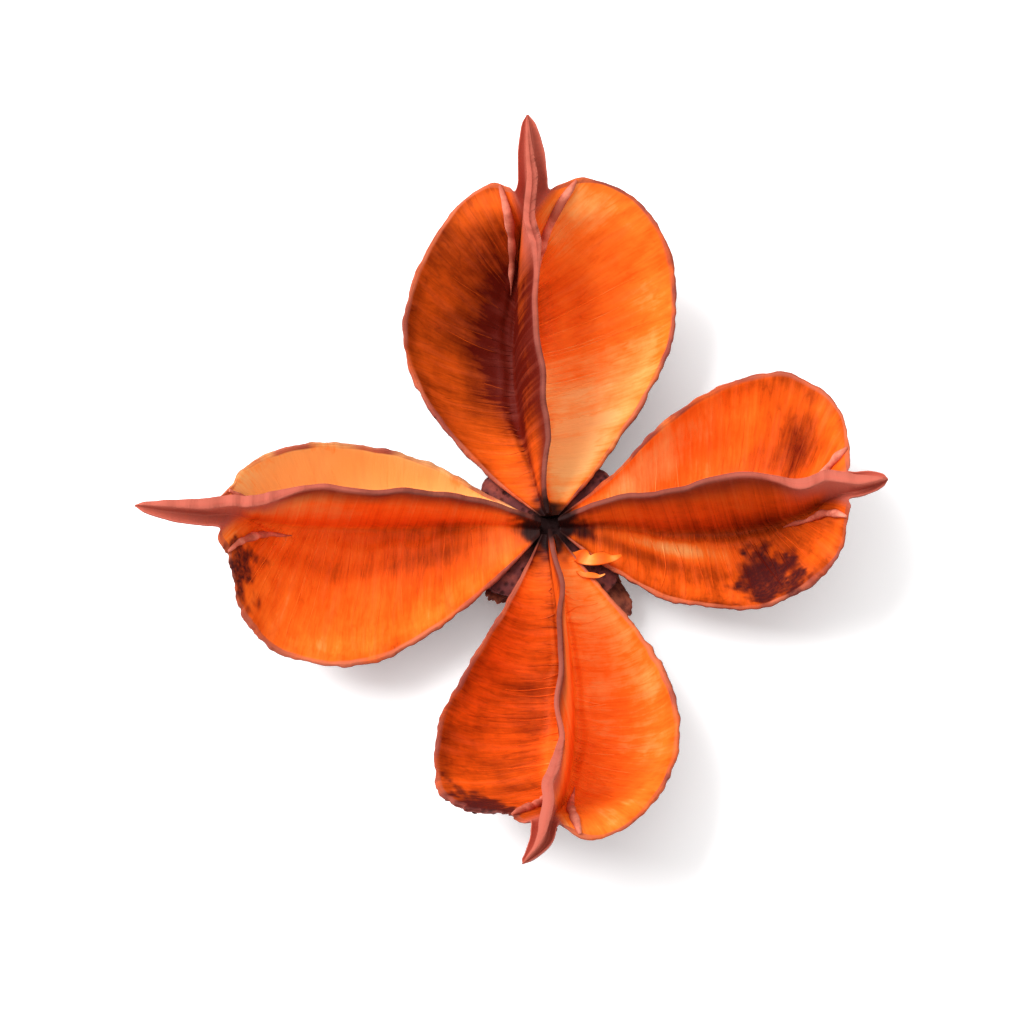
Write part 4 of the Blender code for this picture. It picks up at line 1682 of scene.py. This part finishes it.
@dataclass(frozen=True)
class Veins:
    """Fine raised veins that cross the linings from the septa, like the rungs of a ladder."""

    per_lobe: int = 42
    points: int = 10
    first: float = 0.9
    last: float = 6.1
    jitter: float = 0.05
    reach: tuple[float, float] = (0.25, 0.95)
    bend: float = 0.12
    wave: float = 0.025
    waves: float = 7.0
    girth: tuple[float, float] = (0.045 * MM, 0.095 * MM)
    taper: float = 0.8
    sunk: float = 0.3
    # Painted shade: how much darker the veins are beside the septum's foot, and how far out that
    # fades.
    trough: float = 0.18
    trough_end: float = 0.36
    tones: tuple[float, float] = (-0.10, 0.08)
    body: Strand = Strand(flatness=1.0, sides=5)
    seed: int = 7

    def strands(self, skin: ValveSkin, random: np.random.Generator) -> tuple[Array, dict]:
        """Veins of one valve.

        Args:
            skin: The valve's skin, once it has been laid.
            random: Where chance comes from.

        Returns:
            Strands by points, and their marks.
        """
        rows, columns = skin.lining.shape[:2]
        middle = columns // 2
        to_rows = (rows - 1) / LAST_STATION
        side = np.repeat([1.0, -1.0], self.per_lobe)[:, None]
        start = np.tile(np.linspace(self.first, self.last, self.per_lobe), 2)
        start = (start + random.uniform(-self.jitter, self.jitter, start.shape))[:, None]
        reach = random.uniform(*self.reach, start.shape) ** 1.5
        way = np.linspace(0.0, 1.0, self.points)[None, :]
        bend = random.uniform(-self.bend, self.bend, start.shape) * way
        turn = way * self.waves * reach + random.uniform(0.0, 6.0, start.shape)
        row = (start + bend + self.wave * np.sin(turn)) * to_rows
        column = middle + side * (1.2 + way * reach * (middle - 3.0))
        girth = random.uniform(*self.girth, start.shape)
        girth = girth * (1.0 - self.taper * way) ** 0.8 * eased(way, -0.05, 0.10)
        points = read_grid(skin.lining, row, column)
        out = read_grid(facing(skin.lining), row, column)
        points = points - out * (self.sunk * girth)[:, :, None]
        # Painted shade: the veins are darker in the trough beside the septum, and in the middle of
        # the boll.
        trough = self.trough * (1.0 - eased(way * reach, 0.0, self.trough_end))
        dark = read_grid(skin.tone, row, column) + trough
        dark = dark + random.uniform(*self.tones, start.shape)
        return points, {"girth": girth, "dark": dark, "pit_shade": PIT_SHADE.mark(points)}

    def build(self, skins: list[ValveSkin], material: bpy.types.Material) -> None:
        """Builds and fixes the veins of all valves as one piece.

        Args:
            skins: The valves' skins, once they have been laid.
            material: The veins' finish.
        """
        random = np.random.default_rng(self.seed)
        grown = [self.strands(skin, random) for skin in skins]
        points = np.concatenate([strands for strands, _ in grown])
        marks = {key: np.concatenate([m[key] for _, m in grown]) for key in grown[0][1]}
        self.body.build("lining_veins", points, marks, material)


@dataclass(frozen=True)
class Folds:
    """Lips of the margins that curl in at the notch and run down the lining beside the septum.

    path holds the station, the share of the way to the margin and the half width in millimetres
    of each point that a lip runs through, from the margin to the septum.
    """

    path: tuple[tuple[float, float, float], ...] = (
        (6.35, 1.00, 0.14),
        (6.25, 0.66, 0.34),
        (6.00, 0.38, 0.36),
        (5.60, 0.21, 0.30),
        (5.20, 0.14, 0.20),
        (4.75, 0.09, 0.03),
    )
    steps: int = 40
    uneven: float = 0.5
    uneven_size: float = 1.2 * MM
    raised: float = 0.5
    body: Strand = Strand(flatness=0.8, sides=8)

    def strands(self, skin: ValveSkin) -> tuple[Array, Array]:
        """Both lips of one valve.

        Args:
            skin: The valve's skin, once it has been laid.

        Returns:
            Strands by points, and their half widths.
        """
        rows, columns = skin.lining.shape[:2]
        middle = columns // 2
        stops = np.linspace(0.0, len(self.path) - 1.0, self.steps)
        place, share, wide = [through(line, stops)[None, :] for line in zip(*self.path)]
        side = np.array([[1.0], [-1.0]])
        row = np.repeat(place, len(side), axis=0) * (rows - 1) / LAST_STATION
        column = middle + side * (1.0 + share * (middle - 1.5))
        points = read_grid(skin.lining, row, column)
        out = read_grid(facing(skin.lining), row, column)
        uneven = grain(points, self.uneven_size, skin.valve.phase + 70.0)
        girth = wide * MM * (1.0 + self.uneven * uneven)
        return points + out * (self.raised * girth)[:, :, None], girth

    def build(self, skins: list[ValveSkin], material: bpy.types.Material) -> None:
        """Builds and fixes the lips of all valves as one piece.

        Args:
            skins: The valves' skins, once they have been laid.
            material: The lips' finish.
        """
        points, girths = zip(*[self.strands(skin) for skin in skins])
        marks = {"girth": np.concatenate(girths)}
        self.body.build("margin_folds", np.concatenate(points), marks, material)


@dataclass(frozen=True)
class Scraps:
    """Papery scraps of lining that have come loose near the middle of the boll.

    Each is a line of points, in millimetres in the row frame, and its half width at each.
    """

    lines: tuple[tuple[tuple[float, float, float, float], ...], ...] = (
        (
            (4.9, -3.1, 5.0, 0.40),
            (5.9, -3.6, 5.8, 0.62),
            (7.1, -3.9, 6.3, 0.55),
            (8.2, -3.8, 6.3, 0.36),
            (9.0, -3.5, 6.0, 0.08),
        ),
        (
            (5.1, -4.0, 4.9, 0.22),
            (5.9, -4.8, 5.4, 0.30),
            (6.9, -5.2, 5.8, 0.22),
            (7.7, -5.0, 5.9, 0.06),
        ),
    )
    steps: int = 24
    crumple: float = 0.15 * MM
    crumple_size: float = 1.0 * MM
    uneven: float = 0.4
    thinnest: float = 0.03 * MM
    paleness: float = 0.02
    body: Strand = Strand(flatness=0.16, sides=10)

    def build(self, material: bpy.types.Material) -> None:
        """Builds and fixes the scraps as one piece.

        Args:
            material: Their finish.
        """
        shapes = []
        for line in self.lines:
            places = np.linspace(0.0, len(line) - 1.0, self.steps)
            shapes.append(np.stack([through(values, places) for values in zip(*line)], axis=1))
        rows = np.stack(shapes) * MM
        points = rows[:, :, :3]
        creases = grain(points, self.crumple_size, 21.0)
        points = points + self.crumple * creases[:, :, None]
        girth = np.maximum(rows[:, :, 3], self.thinnest) * (1.0 + self.uneven * creases)
        dark = self.uneven * creases - self.paleness
        marks = {"girth": girth, "dark": dark, "pit_shade": np.zeros_like(girth)}
        self.body.build("lining_scraps", points, marks, material)


@dataclass(frozen=True)
class Glands:
    """Small dark warts scattered over the backs of the valves."""

    distance: float = 1.0 * MM
    smallest: float = 0.13 * MM
    largest: float = 0.27 * MM
    flatness: float = 0.5
    seed: int = 3
    foot_rows: int = 12
    beak_rows: int = 50
    row_step: int = 3
    margin_columns: int = 2

    def bed(self, skins: list[ValveSkin]) -> bpy.types.Mesh:
        """The backs of the valves as one open mesh.

        Args:
            skins: The valves' skins, once they have been laid.

        Returns:
            The mesh, without the feet, the beaks and the margins.
        """
        kept_rows = slice(self.foot_rows, -self.beak_rows, self.row_step)
        kept_columns = slice(self.margin_columns, -self.margin_columns)
        points, faces, first = [], [], 0
        for skin in skins:
            back = skin.back[kept_rows, kept_columns]
            back = np.maximum(back, [-1.0, -1.0, self.largest * self.flatness])
            rows, columns = back.shape[:2]
            here = np.arange(rows - 1)[:, None] * columns + np.arange(columns - 1)[None, :] + first
            quads = np.stack([here, here + columns, here + columns + 1, here + 1], axis=-1)
            points.append(back.reshape(-1, 3))
            faces.append(quads.reshape(-1, 4))
            first += rows * columns
        mesh = bpy.data.meshes.new("backs")
        mesh.from_pydata(np.concatenate(points).tolist(), [], np.concatenate(faces).tolist())
        return mesh

    def build(self, skins: list[ValveSkin], material: bpy.types.Material) -> None:
        """Builds and fixes the warts of all valves as one piece.

        Args:
            skins: The valves' skins, once they have been laid.
            material: The warts' finish.
        """
        values = {
            "Distance": self.distance,
            "Smallest": self.smallest,
            "Largest": self.largest,
            "Flatness": self.flatness,
            "Seed": self.seed,
            "Material": material,
        }
        piece = gland_grower().grow("back_glands", self.bed(skins), values)
        settle(piece, material, "capsule")


@dataclass(frozen=True)
class DullFinish:
    """A dull skin of two colours in small patches."""

    name: str
    dark: Colour
    light: Colour

    def material(self) -> bpy.types.Material:
        """Builds the finish.

        Returns:
            The material.
        """
        sheet = Sheet(self.name, gloss=0.14)
        patches = sheet.noise(sheet.place(), scale=500.0, detail=4.0, rough=0.6)
        colour = sheet.blend(patches.step(0.4, 0.7), self.dark, self.light)
        sheet.finish(colour, 0.7 + 0.2 * (patches - 0.5), patches, 0.05 * MM)
        return sheet.material


@dataclass
class Husk:
    """The capsule: four valves on their cup, with what grows on their two faces."""

    finish: HuskFinish = field(default_factory=HuskFinish)
    cup: Cup = field(default_factory=Cup)
    veins: Veins = field(default_factory=Veins)
    scraps: Scraps = field(default_factory=Scraps)
    folds: Folds = field(default_factory=Folds)
    glands: Glands = field(default_factory=Glands)
    fold_finish: DullFinish = DullFinish("fold", (0.46, 0.105, 0.062), (0.84, 0.270, 0.180))
    gland_finish: DullFinish = DullFinish("gland", (0.060, 0.014, 0.015), (0.21, 0.045, 0.036))

    def build(self) -> None:
        """Builds, dresses and fixes the husk's pieces."""
        material = self.finish.material()
        skins = [ValveSkin(valve) for valve in VALVES]
        for skin in skins:
            settle(skin.skin().build(skin.valve.name), material, "capsule")
        settle(self.cup.skin().build("cup"), material, "capsule")
        thread = ThreadFinish().material(self.finish)
        self.veins.build(skins, thread)
        self.scraps.build(thread)
        self.folds.build(skins, self.fold_finish.material())
        self.glands.build(skins, self.gland_finish.material())


@dataclass(frozen=True)
class DryFinish:
    """A dull dry skin of two colours, and a third laid on by a mark: painted shade in the calyx's
    creases and at its collar, and bare wood at the stalk's broken end.
    """

    name: str
    light: Colour
    dark: Colour
    shade_and_wood: Colour
    roughness: float
    across: float
    along: float

    def material(self) -> bpy.types.Material:
        """Builds the finish.

        Returns:
            The material.
        """
        sheet = Sheet(self.name)
        place = sheet.place()
        patches = sheet.noise(place, scale=650.0, detail=4.0, rough=0.6)
        veins = sheet.drawn(self.across, self.along, detail=3.0)
        fine = sheet.noise(place, scale=3000.0, detail=2.0)
        # Painted shade on the calyx, and bare wood on the stalk, where the mark says.
        depth = sheet.mark("shade_and_wood")
        mixed = (patches + 0.9 * (veins - 0.5)).step(0.35, 0.68)
        colour = sheet.blend(mixed, self.dark, self.light)
        colour = sheet.blend((depth + 0.5 * (patches - 0.5)).within(), colour, self.shade_and_wood)
        roughness = self.roughness + 0.25 * (fine - 0.5)
        relief = 0.7 * veins + 0.3 * fine
        sheet.finish(colour, roughness, relief, 0.18 * MM)
        return sheet.material


@dataclass(frozen=True)
class Calyx:
    """The dry calyx: one thin, folded and torn frill round the foot of the husk."""

    collar: float = 2.7 * MM
    top: float = -7.8 * MM
    reach: float = 2.6 * MM
    reach_in_gaps: float = 4.2 * MM
    longest: float = 315.0
    longest_width: float = 12.6
    longest_extra: float = 2.6 * MM
    slopes: tuple[float, float, float] = (12.0, 30.0, 6.0)
    thickness: float = 0.45 * MM
    tears: tuple[tuple[float, float, float], ...] = ((0.28 * MM, 5, 0.8), (0.18 * MM, 11, 2.0))
    folds: tuple[tuple[float, float, float], ...] = ((0.30 * MM, 7, 0.5), (0.18 * MM, 13, 0.0))
    around: int = 420
    steps: int = 22
    crumple: float = 0.22 * MM
    crease_size: float = 1.1 * MM
    fine_crease_size: float = 0.5 * MM
    fine_crease_share: float = 0.5
    # Painted shade: how dark the sunken creases and the collar under the husk are; collar_end is
    # where the collar's shade fades out.
    crease_shade: float = 0.7
    collar_shade: float = 0.5
    collar_end: float = 0.3
    edge_thinning: float = 0.5
    fringe: float = 0.45 * MM
    fringe_turn: float = 40.0
    fringe_size: float = 2.2
    nick: float = 0.135 * MM
    nick_size: float = 0.7
    nick_start: float = 0.15
    flow_length: float = 4.0
    finish: DryFinish = DryFinish(
        "calyx_paper",
        light=(0.50, 0.12, 0.06),
        dark=(0.20, 0.035, 0.022),
        # Painted shade in the creases and at the collar.
        shade_and_wood=(0.035, 0.008, 0.007),
        roughness=0.78,
        across=10.0,
        along=1.5,
    )

    @staticmethod
    def waves(angle: Array, terms: tuple[tuple[float, float, float], ...]) -> Array:
        """Sum of waves round the boll, each with a height, a number round it and a phase."""
        return sum(height * np.sin(number * angle + phase) for height, number, phase in terms)

    def middle(self, angle: Array, share: Array) -> Array:
        """Middle of the papery wall.

        Args:
            angle: Directions in radians.
            share: Share of the way from the collar to the torn edge.

        Returns:
            Points in the row frame.
        """
        gap = between_valves(angle)
        off = (np.degrees(angle) - self.longest + 180.0) % 360.0 - 180.0
        longest = self.longest_extra * np.exp(-((off / self.longest_width) ** 2))
        whole = self.reach + (self.reach_in_gaps - self.reach) * gap
        whole = whole + self.waves(angle, self.tears) + longest
        ring = np.stack([np.cos(angle), np.sin(angle), np.zeros_like(angle)], axis=-1)
        ring = self.fringe_turn * ring
        nicks = grain(ring, self.nick_size, 3.0) > self.nick_start
        whole = whole - self.fringe * np.abs(grain(ring, self.fringe_size)) - self.nick * nicks
        reach = whole * share
        fold = share * self.waves(angle, self.folds)
        at_collar, at_edge, in_gaps = self.slopes
        edge = at_edge + (in_gaps - at_edge) * gap
        slope = np.radians(at_collar + (edge - at_collar) * share)
        radius = self.collar + reach * np.cos(slope) + fold * np.sin(slope)
        height = self.top - reach * np.sin(slope) + fold * np.cos(slope)
        return AXIS.round_point(radius, angle, height)

    def build(self) -> None:
        """Builds, dresses and fixes the calyx."""
        angle = np.linspace(0.0, 2.0 * math.pi, self.around, endpoint=False)[:, None]
        share = np.linspace(0.0, 1.0, self.steps)[None, :]
        angle, share = np.broadcast_arrays(angle, share)
        middle = self.middle(angle, share)
        wrapped = np.concatenate([middle[-1:], middle, middle[:1]])
        normal = facing(wrapped)[1:-1]
        normal *= np.sign(normal[:, :, 2:])
        fine = grain(middle, self.fine_crease_size, 9.0)
        creases = grain(middle, self.crease_size, 2.0) + self.fine_crease_share * fine
        middle = middle + normal * (self.crumple * creases * share)[:, :, None]
        half = 0.5 * self.thickness * (1.0 - self.edge_thinning * share)[:, :, None]
        over, under = middle + normal * half, middle - normal * half
        points = np.concatenate([over, under[:, ::-1]], axis=1)
        # Painted shade: darker in the sunken creases and at the collar under the husk.
        at_collar = self.collar_shade * (1.0 - eased(share, 0.0, self.collar_end))
        shade_and_wood = np.clip(-self.crease_shade * creases, 0.0, 1.0) + at_collar
        flow = np.stack([angle, share * self.flow_length], axis=2)
        doubled = np.concatenate([flow, flow[:, ::-1]], axis=1)
        marks = {"shade_and_wood": np.concatenate([shade_and_wood, shade_and_wood[:, ::-1]], axis=1)}
        piece = Skin(points, marks, doubled, ring=True).build("calyx_frill")
        settle(piece, self.finish.material(), "calyx")


@dataclass(frozen=True)
class Stalk:
    """The stalk's swollen end and stub, with an uneven broken end.

    rings holds radius, height from the chord and sideways bend, in millimetres.
    """

    rings: tuple[tuple[float, float, float], ...] = (
        (0.2, -7.4, 0.0),
        (1.9, -7.4, 0.0),
        (2.3, -7.6, 0.0),
        (2.2, -8.0, 0.0),
        (1.7, -8.5, 0.05),
        (1.45, -9.0, 0.15),
        (1.4, -9.5, 0.3),
        (1.3, -9.8, 0.4),
        (0.2, -9.6, 0.4),
    )
    ribs: int = 5
    rib_share: float = 0.05
    furrows: int = 17
    furrow_share: float = 0.035
    bark: float = 0.07 * MM
    bark_size: float = 0.5 * MM
    bark_length: float = 0.3
    splinter: float = 0.16 * MM
    splinter_size: float = 0.35 * MM
    broken: float = 0.25 * MM
    broken_span: tuple[float, float] = (6.0, 7.0)
    wood_span: tuple[float, float] = (7.0, 7.6)
    bend_bearing: float = -31.0
    around: int = 120
    steps: int = 64
    finish: DryFinish = DryFinish(
        "stalk_bark",
        light=(0.26, 0.075, 0.04),
        dark=(0.10, 0.025, 0.018),
        shade_and_wood=(0.40, 0.22, 0.11),
        roughness=0.75,
        across=14.0,
        along=2.0,
    )

    def build(self) -> None:
        """Builds, dresses and fixes the stalk."""
        places = np.linspace(0.0, len(self.rings) - 1.0, self.steps)
        radius, height, bend = [through(c, places)[:, None] * MM for c in zip(*self.rings)]
        angle = np.linspace(0.0, 2.0 * math.pi, self.around, endpoint=False)[None, :]
        ribbed = radius * (1.0 + self.rib_share * np.sin(self.ribs * angle))
        ribbed = ribbed * (1.0 + self.furrow_share * np.sin(self.furrows * angle + 1.0))
        end = eased(places, *self.broken_span)[:, None]
        broken = self.broken * end * np.sin(2.0 * angle + 1.0)
        points = AXIS.round_point(ribbed, angle, height + broken)
        aside = bend * np.array([1.0, math.tan(math.radians(self.bend_bearing)), 0.0])
        points = points + aside[:, None, :]
        drawn_out = points * np.array([1.0, 1.0, self.bark_length])
        bark = self.bark * grain(drawn_out, self.bark_size, 4.0)
        upright = points * np.array([1.0, 1.0, 0.0])
        splinters = self.splinter * grain(upright, self.splinter_size) * end
        outward = points - AXIS.round_point(np.zeros_like(ribbed), angle, height + broken)
        outward /= np.maximum(np.linalg.norm(outward, axis=2, keepdims=True), 1e-9)
        points = points + outward * bark[:, :, None]
        points[:, :, 2] = np.maximum(points[:, :, 2] + splinters, 0.0)
        wood = np.repeat(eased(places, *self.wood_span)[:, None], self.around, axis=1)
        flow = np.stack(np.broadcast_arrays(angle, places[:, None]), axis=2)
        piece = Skin(points, {"shade_and_wood": wood}, flow).build("stalk_stub")
        settle(piece, self.finish.material(), "stalk")


def towards(bearing: float, elevation: float) -> Vector:
    """A unit direction.

    Args:
        bearing: Degrees from east towards north.
        elevation: Degrees above level.

    Returns:
        The direction.
    """
    level = math.cos(math.radians(elevation))
    across = math.radians(bearing)
    up = math.sin(math.radians(elevation))
    return Vector((level * math.cos(across), level * math.sin(across), up))


def aimed(name: str, data: bpy.types.ID, target: Vector, away: Vector, far: float) -> None:
    """Puts a lamp or a camera in the scene and points it at the target.

    Args:
        name: Name of the object.
        data: The light or the camera.
        target: The point that it looks at.
        away: The direction in which it stands from there.
        far: How far away it stands.
    """
    thing = bpy.data.objects.new(name, data)
    thing.location = target + away * far
    thing.rotation_euler = (-away).to_track_quat("-Z", "Y").to_euler()
    bpy.context.scene.collection.objects.link(thing)


@dataclass(frozen=True)
class Lamp:
    """A square soft light: where it stands, how wide it is and how bright, in watts."""

    name: str
    bearing: float
    elevation: float
    distance: float
    size: float
    power: float

    def build(self, target: Vector) -> None:
        """Makes the light.

        Args:
            target: The point that it shines at.
        """
        data = bpy.data.lights.new(self.name, "AREA")
        data.size = self.size
        data.energy = self.power
        aimed(self.name, data, target, towards(self.bearing, self.elevation), self.distance)


@dataclass(frozen=True)
class Studio:
    """A pale floor, soft lights and a camera that looks down into the boll."""

    lamps: tuple[Lamp, ...] = (
        Lamp("key", 158.0, 50.0, 0.60, 0.40, 5.2),
        Lamp("fill", -35.0, 45.0, 0.80, 0.60, 1.3),
        Lamp("top", 70.0, 82.0, 0.80, 0.60, 1.7),
    )
    world: Colour = (1.0, 1.0, 1.0)
    world_strength: float = 0.43
    floor: Colour = (0.97, 0.97, 0.97)
    floor_glow: float = 0.22
    floor_size: float = 4.0
    floor_roughness: float = 0.9
    bearing: float = -90.0
    elevation: float = 70.0
    lens: float = 200.0
    distance: float = 0.47
    aim: tuple[float, float, float] = (0.0, 0.0, 7.0 * MM)

    def lay_floor(self) -> None:
        """Lays the pale floor that the boll lies on."""
        half = 0.5 * self.floor_size
        mesh = bpy.data.meshes.new("floor")
        corners = [(-half, -half, 0.0), (half, -half, 0.0), (half, half, 0.0), (-half, half, 0.0)]
        mesh.from_pydata(corners, [], [(0, 1, 2, 3)])
        floor = bpy.data.objects.new("floor", mesh)
        bpy.context.scene.collection.objects.link(floor)
        sheet = Sheet("floor_paper")
        inputs = sheet.shader.inputs
        inputs["Base Color"].default_value = (*self.floor, 1.0)
        inputs["Roughness"].default_value = self.floor_roughness
        inputs["Emission Color"].default_value = (*self.floor, 1.0)
        inputs["Emission Strength"].default_value = self.floor_glow
        mesh.materials.append(sheet.material)

    def light_sky(self) -> None:
        """Fills the world round the boll with an even light."""
        world = bpy.data.worlds.new("studio")
        world.use_nodes = True
        sky = world.node_tree.nodes["Background"]
        sky.inputs["Color"].default_value = (*self.world, 1.0)
        sky.inputs["Strength"].default_value = self.world_strength
        bpy.context.scene.world = world

    def build(self) -> None:
        """Makes the floor, the world, the lights and the camera."""
        self.lay_floor()
        self.light_sky()
        target = Vector(self.aim)
        for lamp in self.lamps:
            lamp.build(target)
        data = bpy.data.cameras.new("camera")
        data.lens = self.lens
        aimed("camera", data, target, towards(self.bearing, self.elevation), self.distance)
        scene = bpy.context.scene
        scene.camera = bpy.data.objects["camera"]
        scene.view_settings.view_transform = "Standard"


def main() -> None:
    """Builds the boll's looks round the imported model."""
    logging.basicConfig(level=logging.INFO, format="%(name)s: %(message)s")
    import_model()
    Husk().build()
    Calyx().build()
    Stalk().build()
    Studio().build()


if __name__ == "__main__":
    main()
